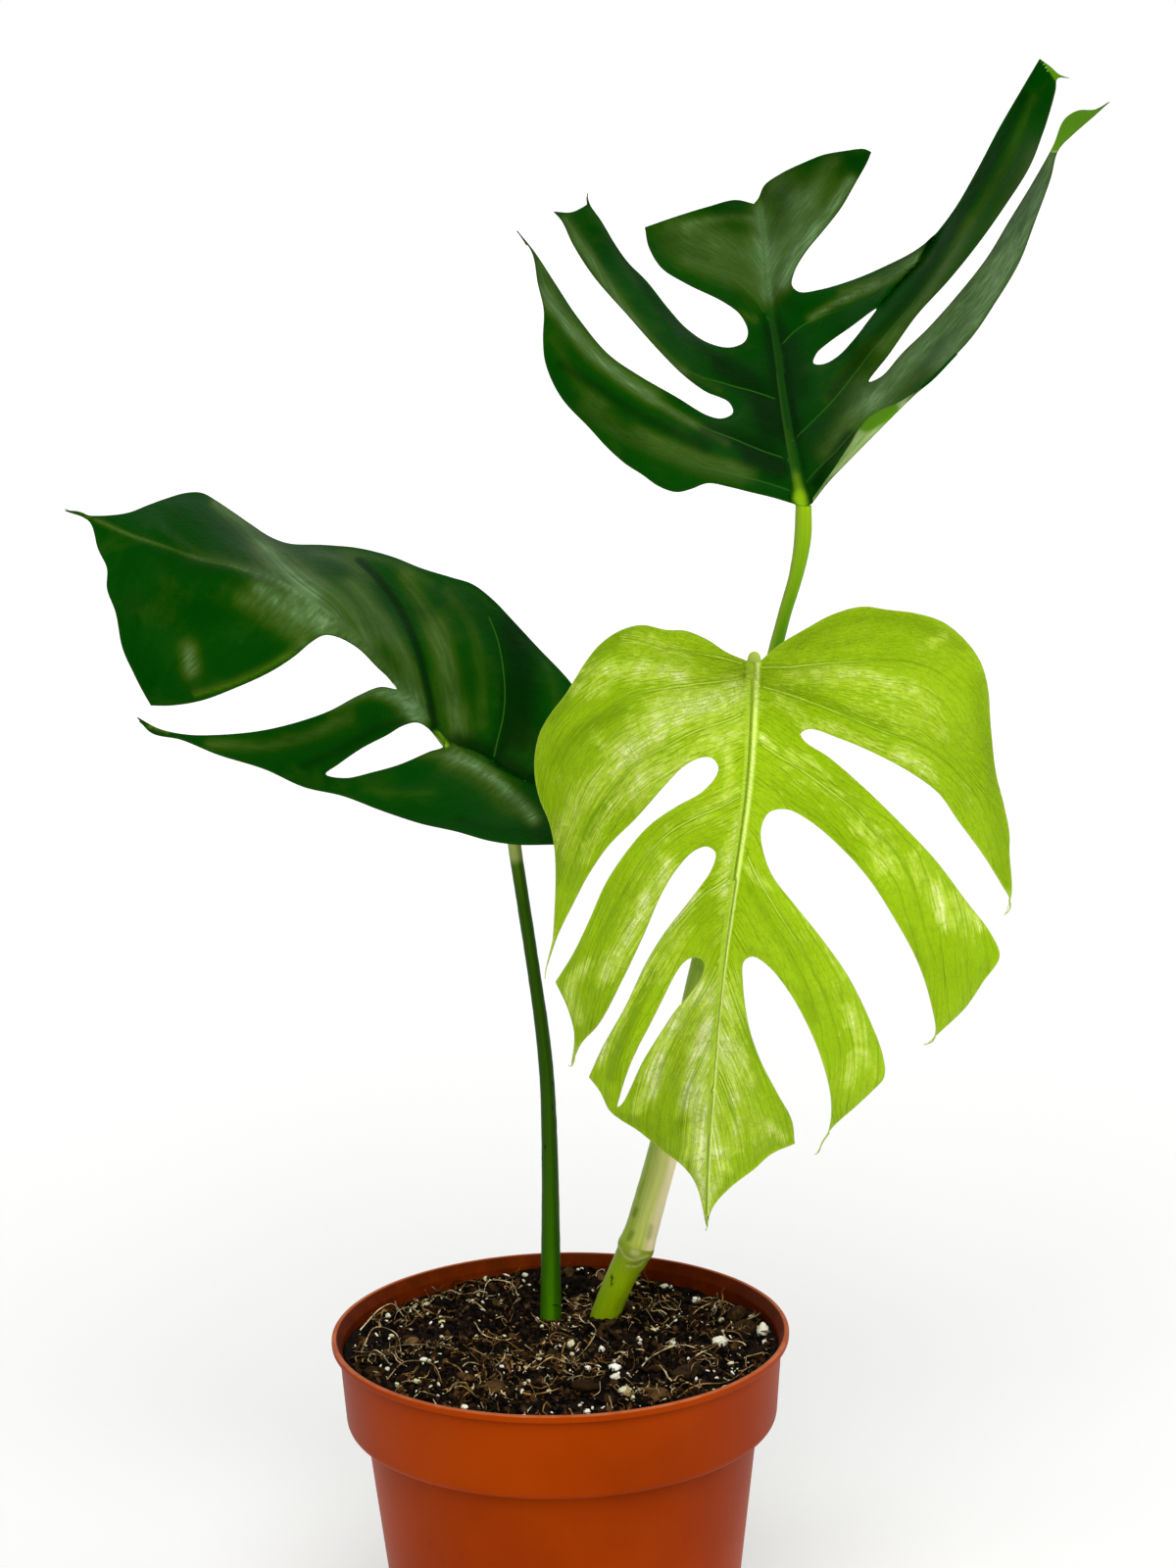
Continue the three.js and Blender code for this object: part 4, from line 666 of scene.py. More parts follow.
def stem_skin(name, tones, right_tone, right_most, left_tone, left_most, streaked, right_fades=2.0):
    """Smooth petiole skin: its colour changes from foot to top and from flank to flank, in lengthwise streaks
    that darken it to the share streaked. The right flank's own tone fades from right_fades of the way up."""
    made, tree, _ = new_material(name)
    field = read_fields(tree, ("rise", "round_x", "round_y", "pale_tone_and_highlight", "stained", "speck"))
    flow = node(tree, "CombineXYZ", {
        "X": field["round_x"], "Y": field["round_y"], "Z": field["rise"]})
    # Streaks are counted round the petiole and along it, not in mm.
    flow = node(tree, "Mapping", {"Vector": flow, "Scale": (5.0, 5.0, 8.0)})
    streaks = node(tree, "TexNoise", {
        "Vector": flow, "Scale": 1.0, "Detail": 5.0, "Roughness": 0.6})
    fading = node(tree, "MapRange", {
        "Value": field["rise"], "From Min": right_fades, "From Max": right_fades + 0.25,
        "To Min": 1.0, "To Max": 0.0})
    right = node(tree, "Math", {0: field["round_x"], 1: fading}, operation="MULTIPLY")
    shade = layered(
        tree, node(tree, "ValToRGB", {"Fac": field["rise"]}, tones),
        (left_tone, field["round_x"], 0.0, -0.9, 0.0, left_most),
        (right_tone, right, 0.05, 0.6, 0.0, right_most))
    darker = node(tree, "HueSaturation", {"Color": shade, "Value": streaked})
    line = node(tree, "MapRange", {"Value": streaks, "From Min": 0.38, "From Max": 0.6})
    shade = layered(
        tree, node(tree, "Mix", {"Factor": line, "A": darker, "B": shade}, data_type="RGBA"),
        # Paler colour at the left petiole's top; on the stem, painted highlights on the scar's lips and
        # painted sheen streaks.
        ("#D4D98A", field["pale_tone_and_highlight"], 0.1, 0.9, 0.0, 0.8),
        ("#4A6A0C", field["stained"], 0.1, 0.9, 0.0, 0.7),
        ("#1C2606", field["speck"], 0.2, 0.8, 0.0, 1.0))
    surfaced(tree, {"Base Color": shade, "Roughness": 0.42, "Specular IOR Level": 0.12,
                    "Specular Tint": linear("#F4FFA0")}, streaks)
    return made


# The sight frame in metres.
view_forward = np.array((0, math.cos(VIEW_PITCH), -math.sin(VIEW_PITCH)))
view_level_up = np.array((0, math.sin(VIEW_PITCH), math.cos(VIEW_PITCH)))
view_side = np.array((1.0, 0, 0))
view_right = view_side * math.cos(VIEW_ROLL) + view_level_up * math.sin(VIEW_ROLL)
view_up = view_level_up * math.cos(VIEW_ROLL) - view_side * math.sin(VIEW_ROLL)


def sighted(sights, depth):
    """The points, in metres, at the depths in mm on the lines of sight."""
    sights = np.asarray(sights, float)
    ray = view_forward + np.outer((sights[:, 0] - VIEW_SIZE[0] / 2) / VIEW_FOCAL, view_right)
    ray -= np.outer((sights[:, 1] - VIEW_SIZE[1] / 2) / VIEW_FOCAL, view_up)
    reach = (np.asarray(depth, float) - VIEW_EYE[1]) / ray[:, 1]
    return (VIEW_EYE + ray * reach[:, None]) * MM


# Fields and curves on the picture frame.
FIELD_SCALE = 0.01
CURVE_STEPS = 24


def smooth_field(marks):
    """The thin-plate spline through marks [u, v, value]."""
    marks = np.asarray(marks, float)
    places = marks[:, :2] * FIELD_SCALE

    def kernel(points):
        square = ((points[:, None, :] - places[None]) ** 2).sum(-1)
        return 0.5 * square * np.log(np.maximum(square, 1e-30))

    count = len(marks)
    system = np.zeros((count + 3, count + 3))
    system[:count, :count] = kernel(places)
    system[:count, count] = 1
    system[:count, count + 1:] = places
    system[count:, :count] = system[:count, count:].T
    weights = np.linalg.solve(system, np.append(marks[:, 2], np.zeros(3)))

    def field(sights):
        points = np.asarray(sights, float) * FIELD_SCALE
        return kernel(points) @ weights[:count] + weights[count] + points @ weights[count + 1:]

    return field


def smooth_curve(knots, count, closed=False):
    """count + 1 evenly spaced points on a centripetal Catmull-Rom curve, and their places on it, 0 to 1."""
    knots = np.asarray(knots, float)
    if closed:
        padded = np.vstack([knots[-1], knots, knots[0], knots[1]])
    else:
        padded = np.vstack([2 * knots[0] - knots[1], knots, 2 * knots[-1] - knots[-2]])
    fine, places = [], []
    steps = np.linspace(0, 1, CURVE_STEPS, endpoint=False)
    for k in range(len(padded) - 3):
        p0, p1, p2, p3 = padded[k:k + 4]
        spans = [max(np.linalg.norm(b - a) ** 0.5, 1e-6) for a, b in ((p0, p1), (p1, p2), (p2, p3))]
        start = (p1 - p0) / spans[0] - (p2 - p0) / (spans[0] + spans[1]) + (p2 - p1) / spans[1]
        end = (p2 - p1) / spans[1] - (p3 - p1) / (spans[1] + spans[2]) + (p3 - p2) / spans[2]
        start, end = start * spans[1], end * spans[1]
        t = steps[:, None]
        fine.append(p1 + start * t + (3 * (p2 - p1) - 2 * start - end) * t ** 2
                    + (2 * (p1 - p2) + start + end) * t ** 3)
        places.append(k + steps)
    fine = np.vstack(fine + [padded[-2]])
    places = np.append(np.concatenate(places), len(padded) - 3) / (len(padded) - 3)
    lengths = np.append(0, np.cumsum(np.linalg.norm(np.diff(fine, axis=0), axis=1)))
    wanted = np.linspace(0, lengths[-1], count + 1)
    points = np.stack([np.interp(wanted, lengths, column) for column in fine.T], axis=1)
    return points, np.interp(wanted, lengths, places)


def curve_length(knots):
    """The length of the straight line from knot to knot."""
    return np.linalg.norm(np.diff(np.asarray(knots, float), axis=0), axis=1).sum()


def stepped_curve(knots, step, closed=False):
    """Points on a smooth curve about a step apart."""
    knots = np.asarray(knots, float)
    whole = np.vstack([knots, knots[:1]]) if closed else knots
    count = max(2, round(curve_length(whole) / step))
    points, _ = smooth_curve(knots, count, closed)
    return points[:-1] if closed else points


def line_distance(sights, line):
    """Distance from sights to a line, how far along it (0 to 1) they lie, and on which side (-1 or 1)."""
    nearest = np.full(len(sights), np.inf)
    along = np.zeros(len(sights))
    side = np.ones(len(sights))
    for k, (start, end) in enumerate(zip(line[:-1], line[1:])):
        step = end - start
        offset = sights - start
        t = np.clip(offset @ step / (step @ step), 0, 1)
        distance = np.linalg.norm(offset - t[:, None] * step, axis=1)
        closer = distance < nearest
        nearest[closer] = distance[closer]
        along[closer] = (k + t[closer]) / (len(line) - 1)
        side[closer] = np.where(step[0] * offset[closer, 1] - step[1] * offset[closer, 0] > 0, 1, -1)
    return nearest, along, side


def inside_loop(sights, loop):
    """Whether each sight lies inside a closed loop."""
    inside = np.zeros(len(sights), bool)
    for (pu, pv), (qu, qv) in zip(loop, np.roll(loop, 1, axis=0)):
        if pv == qv:
            continue
        crosses = (pv > sights[:, 1]) != (qv > sights[:, 1])
        inside ^= crosses & (sights[:, 0] < (qu - pu) * (sights[:, 1] - pv) / (qv - pv) + pu)
    return inside


def smoothstep(value, low, high):
    """0 up to low, 1 from high, and a smooth rise between them."""
    t = np.clip((value - low) / (high - low), 0, 1)
    return t * t * (3 - 2 * t)


def mesh_object(name, points, faces, materials, face_materials=None, attributes=None):
    """A smooth-shaded mesh object at the origin, linked to the scene."""
    mesh = bpy.data.meshes.new(name)
    mesh.from_pydata([tuple(p) for p in points], [], [tuple(int(c) for c in f) for f in faces])
    for finish in materials:
        mesh.materials.append(finish)
    if face_materials is not None:
        mesh.polygons.foreach_set("material_index", np.asarray(face_materials, np.int32))
    for label, values in (attributes or {}).items():
        layer = mesh.attributes.new(label, "FLOAT", "POINT")
        layer.data.foreach_set("value", np.asarray(values, np.float32))
    mesh.shade_smooth()
    mesh.update()
    made = bpy.data.objects.new(name, mesh)
    bpy.context.scene.collection.objects.link(made)
    return made


def sharpened(made, edges):
    """Marks the given edges, pairs of point numbers, as sharp."""
    wanted = {tuple(sorted(edge)) for edge in edges}
    flags = [tuple(sorted(edge.vertices)) in wanted for edge in made.data.edges]
    layers = made.data.attributes
    layer = layers.get("sharp_edge") or layers.new("sharp_edge", "BOOLEAN", "EDGE")
    layer.data.foreach_set("value", flags)


# Leaves. A midrib's rows of points stand in half widths from its middle, a side vein's in sights.
RIB_FLANK = 1.25
RIB_ROWS = (-RIB_FLANK, -0.9, -0.45, 0, 0.45, 0.9, RIB_FLANK)
VEIN_FLANK = 3.4
VEIN_ROWS = (-VEIN_FLANK, -1.4, 0, 1.4, VEIN_FLANK)
# No two inner points of a blade are nearer than this, in sights, and no triangle is smaller than a sliver.
POINT_GAP = 1.3
SLIVER = 1e-4
# Widths on a blade, in sights: a side vein's ridge and groove, the strips beside the midrib and along the
# edge where the relief fades, how far puckers reach from the midrib and waves from the edge, the thin rim.
VEIN_RIDGE = 1.5
VEIN_GROOVE = 4.2
RIB_STRIP = 10
EDGE_STRIP = 14
PUCKER_REACH = 26
WAVE_REACH = 30
THIN_RIM = 3.5
# The waves along a blade's edge, in waves per mm, and the spacing of the marks on its side veins, in sights.
WAVE_SCALE = 0.035
VEIN_MARK_STEP = 26
# How much fresher in colour a turned tip is, and how wide the midrib's painted highlight, in half widths.
TURNED_FRESHNESS = 0.45
CREST_WIDTH = 0.3


def rib_half_width(along, base_width, tip_width):
    """Half the midrib's width in sights, from the leaf's base (0) to its tip (1)."""
    return base_width + (tip_width - base_width) * np.asarray(along) ** 0.8


def blade_sights(leaf, rib, veins, ribs):
    """The blade's sights and triangles: margins, rows along midrib and veins, and cells between them."""
    runs = leaf["margin"]
    margin = np.vstack([stepped_curve(run + after[:1], MARGIN_STEP)[:-1]
                        for run, after in zip(runs, runs[1:] + runs[:1])])
    slots = [stepped_curve(slot, MARGIN_STEP, True) for slot in leaf["slots"]]
    loops = [margin, *slots]

    def on_blade(sights):
        """Whether sights lie inside the margin and in no slot."""
        held = inside_loop(sights, margin)
        for slot in slots:
            held &= ~inside_loop(sights, slot)
        return held

    def clearance(sights):
        """The distance to the blade's nearest edge, negative off the blade."""
        reach = np.min([line_distance(sights, np.vstack([loop, loop[:1]]))[0] for loop in loops], axis=0)
        return np.where(on_blade(sights), reach, -reach)

    def rows(line, offsets, step, width):
        """Rows of points beside a line, at offsets from it in widths, which may change along it."""
        points = stepped_curve(line, step)
        across = np.gradient(points, axis=0)
        across = np.stack([-across[:, 1], across[:, 0]], 1)
        across /= np.linalg.norm(across, axis=1)[:, None]
        widths = width(np.linspace(0, 1, len(points)))
        return np.vstack([points + across * (offset * widths)[:, None] for offset in offsets])

    def off_rib(sights, gap):
        """The sights that lie more than a gap from the midrib's flanks."""
        distance, along, _ = line_distance(sights, rib)
        return sights[distance > RIB_FLANK * rib_half_width(along, *ribs) + gap]

    groups = [rows(rib, RIB_ROWS, BLADE_CELL * 1.2, lambda share: rib_half_width(share, *ribs))]
    groups += [off_rib(rows(vein, VEIN_ROWS, BLADE_CELL * 1.3, np.ones_like), 1.5) for vein in veins]
    low, high = margin.min(0), margin.max(0)
    lattice = []
    for k, v in enumerate(np.arange(low[1], high[1], BLADE_CELL * math.sqrt(3) / 2)):
        us = np.arange(low[0] + (k % 2) * BLADE_CELL / 2, high[0], BLADE_CELL)
        lattice.append(np.stack([us, np.full(len(us), v)], 1))
    lattice = off_rib(np.vstack(lattice), BLADE_CELL * 0.6)
    for vein in veins:
        distance, _, _ = line_distance(lattice, np.asarray(vein, float))
        lattice = lattice[distance > VEIN_FLANK + BLADE_CELL * 0.55]
    groups.append(lattice)
    # Rows of neighbouring veins may run into each other: a point too near an earlier one is dropped.
    inner, taken = [], {}
    for u, v in np.vstack(groups):
        row, column = int(u // POINT_GAP), int(v // POINT_GAP)
        near = [q for du in (-1, 0, 1) for dv in (-1, 0, 1) for q in taken.get((row + du, column + dv), [])]
        if all((u - q[0]) ** 2 + (v - q[1]) ** 2 > POINT_GAP ** 2 for q in near):
            taken.setdefault((row, column), []).append((u, v))
            inner.append((u, v))
    inner = np.array(inner)
    inner = inner[clearance(inner) > MARGIN_STEP * 0.55]
    edges, start = [], 0
    for loop in loops:
        edges += [(start + k, start + (k + 1) % len(loop)) for k in range(len(loop))]
        start += len(loop)
    flat = [Vector((u, -v)) for u, v in np.vstack([*loops, inner])]
    corners, _, triangles, *_ = delaunay_2d_cdt(flat, edges, [], 0, 1e-5)
    sights = np.array([(p.x, -p.y) for p in corners])
    triangles = np.array(triangles)
    triangles = triangles[on_blade(sights[triangles].mean(1))]
    a, b, c = (sights[triangles[:, k]] for k in range(3))
    area = (b[:, 0] - a[:, 0]) * (c[:, 1] - a[:, 1]) - (b[:, 1] - a[:, 1]) * (c[:, 0] - a[:, 0])
    triangles = triangles[np.abs(area) > SLIVER]
    area = area[np.abs(area) > SLIVER]
    triangles[area > 0] = triangles[area > 0][:, ::-1]
    used, order = np.unique(triangles, return_inverse=True)
    sights, triangles = sights[used], order.reshape(triangles.shape)
    return sights, triangles, clearance(sights)


def point_normals(points, triangles):
    """Each point's normal, from the triangles around it, larger ones counting for more."""
    a, b, c = (points[triangles[:, k]] for k in range(3))
    face = np.cross(b - a, c - a)
    normals = np.zeros_like(points)
    for k in range(3):
        np.add.at(normals, triangles[:, k], face)
    return normals / np.maximum(np.linalg.norm(normals, axis=1), 1e-12)[:, None]


def rim_edges(triangles):
    """The directed edges that only one triangle has."""
    edges = np.vstack([triangles[:, [k, (k + 1) % 3]] for k in range(3)])
    keys = {tuple(edge) for edge in edges.tolist()}
    return [(a, b) for a, b in keys if (b, a) not in keys]


def closed_sheet(name, upper, under, triangles, turned, rim_finish, finishes, fields):
    """A thin sheet: its upper and lower faces, joined around the rim. Where it is turned (1), its faces swap
    their finishes."""
    count = len(upper)
    rim = rim_edges(triangles)
    faces = [*triangles.tolist(), *(triangles[:, ::-1] + count).tolist()]
    faces += [(count + a, count + b, b) for a, b in rim] + [(count + a, b, a) for a, b in rim]
    looks = np.concatenate([turned, 1 - turned, np.full(2 * len(rim), rim_finish)])
    fields = {label: np.tile(values, 2) for label, values in fields.items()}
    return mesh_object(name, np.vstack([upper, under]), faces, finishes, looks, fields)


def noise_at(points, scale, seed):
    """A smooth noise, -1 to 1, at points in metres. Each seed gives another one."""
    shift = Vector((seed, seed * 0.7, seed * 1.3))
    return np.array([noise.noise(Vector(p) * scale + shift) for p in points])


def stroked(sights, strokes):
    """How strongly soft strokes [half width, strength, line] cover the sights, from 0 to 1."""
    bare = np.ones(len(sights))
    for width, strength, line in strokes:
        distance, _, _ = line_distance(sights, stepped_curve(line, MARGIN_STEP * 2))
        bare *= 1 - strength * np.exp(-(distance / width) ** 2)
    return 1 - bare


def blade(name, leaf, ribs, finishes, relief, base_first=True):
    """One leaf blade: a thin closed sheet with its veins in relief on both faces. ribs are the midrib's half
    widths at the base and at the tip."""
    rib = stepped_curve(leaf["midrib"] if base_first else leaf["midrib"][::-1], MARGIN_STEP)
    veins = leaf["veins_left"] + leaf["veins_right"]
    creases = leaf.get("creases", [])
    sights, triangles, edge = blade_sights(leaf, rib, veins + creases, ribs)
    depth = smooth_field(leaf["marks"])(sights)
    # Painted shade, with a deeper green tone, where the shade strokes lie and behind each crease.
    deep_tone_and_shade = stroked(sights, leaf["deep_tone_and_shade"])
    # At a crease the blade's one side stands before the other, and painted shade darkens the side behind it.
    for crease in creases:
        distance, place, which = line_distance(sights, stepped_curve(crease, MARGIN_STEP))
        reach = np.exp(-(distance / relief["crease_width"]) ** 2)
        reach *= np.clip(4 * place * (1 - place), 0, 1) ** 0.4
        depth -= which * relief["crease"] * reach * smoothstep(distance, 0, 1.4)
        deep_tone_and_shade = np.maximum(deep_tone_and_shade, np.where(which < 0, relief["crease_shade"] * reach, 0))
    middle = sighted(sights, depth)
    normals = point_normals(middle, triangles)

    rib_distance, along, side = line_distance(sights, rib)
    rib_half = rib_half_width(along, *ribs)
    rib_seen = smoothstep(along, relief["rib_hidden"] - 0.04, relief["rib_hidden"] + 0.01)
    rib_share = np.clip(1 - rib_distance / (RIB_FLANK * rib_half), 0, 1) * rib_seen
    ridge = np.zeros(len(sights))
    hollow = np.zeros(len(sights))
    for vein in veins:
        distance, place, _ = line_distance(sights, stepped_curve(vein, MARGIN_STEP))
        strength = 1 - 0.75 * smoothstep(place, 0.15, 1.0)
        ridge = np.maximum(ridge, strength * np.exp(-(distance / VEIN_RIDGE) ** 2))
        hollow = np.maximum(hollow, strength * np.exp(-(distance / VEIN_GROOVE) ** 2))
    # Each side's field of veins: whole numbers on the side veins, from base to tip.
    sides = {}
    for label in ("veins_left", "veins_right"):
        marks = [[*point, k] for k, vein in enumerate(leaf[label])
                 for point in stepped_curve(vein, VEIN_MARK_STEP)]
        first = np.mean([line_distance(np.array([vein[1]], float), rib)[2][0] for vein in leaf[label]])
        sides[1 if first > 0 else -1] = smooth_field(marks)(sights)
    phase = np.where(side > 0, sides[1], sides[-1])

    away = smoothstep(rib_distance, rib_half, rib_half + RIB_STRIP)
    inland = smoothstep(edge, 0, EDGE_STRIP)
    pillow = np.abs(np.sin(math.pi * phase)) ** 0.7
    fine = np.cos(2 * math.pi * FINE_VEINS * phase)
    wrinkle = noise_at(middle, relief["wrinkle_scale"] / MM, 3.0)
    pucker = noise_at(middle, relief["pucker_scale"] / MM, 9.0)
    wave = noise_at(middle, WAVE_SCALE / MM, 5.0)
    near_rib = np.exp(-((rib_distance - rib_half) / PUCKER_REACH) ** 2)
    lift = away * inland * relief["pillow"] * pillow
    lift += away * relief["fine"] * fine * inland
    lift += away * inland * (relief["wrinkle"] * wrinkle + relief["pucker"] * pucker * (0.35 + near_rib))
    lift += relief["wave"] * wave * (1 - smoothstep(edge, 0, WAVE_REACH)) * smoothstep(edge, -1, 2)
    groove = relief["groove"] * hollow - relief["ridge"] * ridge
    round_rib = np.sqrt(np.clip(1 - (rib_distance / rib_half) ** 2, 0, 1))
    taper = 1 - 0.75 * along
    rib_side = np.exp(-((rib_distance - rib_half * 1.15) / 1.8) ** 2)
    upper_rib = relief["rib_up"] * taper * round_rib - relief["rib_groove"] * rib_side
    under_rib = relief["keel"] * taper * round_rib
    under_vein = 0.35 * np.exp(-1.0) * hollow + 0.3 * ridge
    thick = (RIM_THICKNESS + (BLADE_THICKNESS - RIM_THICKNESS) * smoothstep(edge, 0, THIN_RIM)) / 2
    raised = thick + lift - groove * inland + upper_rib
    lowered = -thick + lift - groove * inland - under_rib - under_vein * inland

    turned = np.zeros(len(triangles), bool)
    turned_points = np.zeros(len(sights), bool)
    for tip in leaf.get("turned", []):
        turned |= inside_loop(sights[triangles].mean(1), np.array(tip, float))
        turned_points |= inside_loop(sights, np.array(tip, float))
    # A painted highlight along one flank of the midrib's ridge, where the midrib shows.
    crest_highlight = rib_seen * np.exp(-((rib_distance / rib_half * side - relief["crest_place"]) / CREST_WIDTH) ** 2)
    rib_mark = relief["rib_mark"] * (1 - relief["rib_fade"] * smoothstep(along, 0.5, 0.75))
    bright = stroked(sights, leaf.get("bright_lines", []))
    # Fresher colour, which on the left leaf's lower margin paints a reflection.
    fresh_tone_and_reflection = stroked(sights, leaf.get("fresh_tone_and_reflection", []))
    upper = middle + normals * (raised * MM)[:, None]
    under = middle + normals * (lowered * MM)[:, None]
    made = closed_sheet(
        name, upper, under, triangles, turned.astype(int), 0, finishes,
        {"rib": rib_share * rib_mark, "crest_highlight": crest_highlight * rib_mark,
         "vein": np.maximum(relief["vein_mark"] * ridge, bright), "edge": edge * SIGHT_SIZE,
         "across": phase * ACROSS_SCALE * relief["streaked"],
         "along": rib_distance * SIGHT_SIZE * MM * ALONG_SCALE, "side": side,
         "sheen": stroked(sights, leaf["sheen"]), "deep_tone_and_shade": deep_tone_and_shade,
         "fresh_tone_and_reflection": np.where(turned_points, TURNED_FRESHNESS, fresh_tone_and_reflection)})
    count = len(sights)
    rim = rim_edges(triangles)
    sharpened(made, rim + [(count + a, count + b) for a, b in rim])
    return made


def tube_faces(count, sides):
    """The faces of a closed tube of count rings."""
    faces = []
    for start in range(0, (count - 1) * sides, sides):
        for s in range(sides):
            a, b = start + s, start + (s + 1) % sides
            faces.append((a, b, b + sides, a + sides))
    faces.append(tuple(range(sides))[::-1])
    faces.append(tuple(range((count - 1) * sides, count * sides)))
    return faces


def tube_mesh(points, radii, sides=TUBE_SIDES):
    """A closed tube along a line: its places, ring by ring, its faces, and each place's angle."""
    points = np.asarray(points, float)
    along = np.gradient(points, axis=0)
    along /= np.linalg.norm(along, axis=1)[:, None]
    across = np.array((1.0, 0, 0)) - along * along[:, :1]
    across /= np.linalg.norm(across, axis=1)[:, None]
    over = np.cross(along, across)
    angle = np.arange(sides) / sides * 2 * math.pi
    radii = np.asarray(radii, float).reshape(len(points), -1)
    ring = across[:, None] * np.cos(angle)[None, :, None] + over[:, None] * np.sin(angle)[None, :, None]
    places = (points[:, None] + ring * radii[:, :, None]).reshape(-1, 3)
    return places, tube_faces(len(points), sides), np.tile(angle, len(points))


def joined(name, parts):
    """Several mesh objects as one, with the first one's name and material slots."""
    bpy.ops.object.select_all(action="DESELECT")
    for part in parts:
        part.select_set(True)
    bpy.context.view_layer.objects.active = parts[0]
    bpy.ops.object.join()
    parts[0].name = name
    return parts[0]


# The hooked threads at the lobes' points: radii in mm at their root and end.
THREAD_RADII = (0.34, 0.12)


def thread_tips(leaf, finishes):
    """The fine hooked threads in which a blade's lobes end."""
    depth_at = smooth_field(leaf["marks"])
    made = []
    for thread in leaf["threads"]:
        line = stepped_curve(thread, 1.5)
        radii = np.linspace(*THREAD_RADII, len(line)) * MM
        places, faces, _ = tube_mesh(sighted(line, depth_at(line)), radii, 8)
        blank = {label: np.zeros(len(places)) for label in BLADE_FIELDS}
        made.append(mesh_object("thread", places, faces, finishes, None, blank))
    return made


# The rolled hem: points along it, rows across it, and its thickness in mm.
HEM_POINTS = 91
HEM_ROWS = 9
HEM_THICKNESS = 0.4


def rolled_hem(leaf, finishes):
    """The top leaf's outer edge, rolled forward over the blade so that its lower face shows."""
    fold, _ = smooth_curve(HEM_FOLD, HEM_POINTS - 1)
    edge, _ = smooth_curve(HEM_EDGE, HEM_POINTS - 1)
    depth_at = smooth_field(leaf["marks"])
    share = np.linspace(0, 1, HEM_POINTS)
    swell = np.sin(math.pi * share) ** 0.5
    rows, sights = [], []
    for t in np.linspace(0, 1, HEM_ROWS):
        line = fold + (edge - fold) * t
        front = 0.3 + 0.9 * min(1, 4 * t) + (2.2 * math.sin(math.pi * t ** 0.7) + 0.8 * t) * swell
        rows.append(sighted(line, depth_at(line) - front))
        sights.append(line)
    upper = np.vstack(rows)
    corners = [k * HEM_POINTS + s for k in range(HEM_ROWS - 1) for s in range(HEM_POINTS - 1)]
    triangles = np.array([(a, a + 1, a + HEM_POINTS + 1) for a in corners]
                         + [(a, a + HEM_POINTS + 1, a + HEM_POINTS) for a in corners])
    normals = point_normals(upper, triangles)
    if (normals @ view_forward).mean() > 0:
        triangles = triangles[:, ::-1]
        normals = -normals
    along = np.tile(share, HEM_ROWS)
    fields = {label: 0 * along for label in BLADE_FIELDS}
    fields |= {"edge": 0 * along + 3, "across": np.repeat(np.linspace(0, 3, HEM_ROWS), HEM_POINTS),
               "along": along * 2, "fresh_tone_and_reflection": stroked(np.vstack(sights), [[8, 1.0, HEM_PATCH]])}
    return closed_sheet("hem", upper, upper - normals * (HEM_THICKNESS * MM), triangles,
                        np.ones(len(triangles), int), 1, finishes, fields)


# Stem and petioles. The unevenness of their skin: [waves per mm, height in mm, seed].
STEM_BUMPS = [[0.25, 0.08, 2.0], [0.9, 0.03, 4.0]]
# The sheath's raised edge and the hollow beside it: [angle and width in radians, height in mm].
SHEATH_FORMS = [[5.1, 0.16, 0.55], [5.45, 0.2, 0.4]]


def stem_points(line):
    """Points in metres about a step apart along a smooth line, and their radii in mm."""
    line = np.asarray(line, float)
    knots = sighted(line[:, :2], line[:, 2])
    count = max(8, round(curve_length(knots) / (TUBE_STEP * MM)))
    points, places = smooth_curve(knots, count)
    radii = np.interp(places * (len(line) - 1), np.arange(len(line)), line[:, 3])
    # Three passes take the kinks out of the radii.
    for _ in range(3):
        radii[1:-1] = (radii[:-2] + 2 * radii[1:-1] + radii[2:]) / 4
    return points, radii


def buried(points, radii, depth):
    """A line lengthened downwards into the soil."""
    rise = points[1] - points[0]
    rise = rise / np.linalg.norm(rise) + np.array((0, 0, 1.0))
    rise /= np.linalg.norm(rise)
    steps = np.arange(round(depth / TUBE_STEP), 0, -1)
    below = points[0] - np.outer(steps * TUBE_STEP * MM, rise)
    return np.vstack([below, points]), np.append(np.full(len(steps), radii[0]), radii)


def seen_at(points):
    """The sights at which points, in metres, are seen."""
    offset = points / MM - VIEW_EYE
    reach = offset @ view_forward
    return np.stack([VIEW_SIZE[0] / 2 + VIEW_FOCAL * (offset @ view_right) / reach,
                     VIEW_SIZE[1] / 2 - VIEW_FOCAL * (offset @ view_up) / reach], axis=1)


def travelled(points):
    """How far along a line each of its points lies, in mm."""
    return np.append(0, np.cumsum(np.linalg.norm(np.diff(points, axis=0), axis=1))) / MM


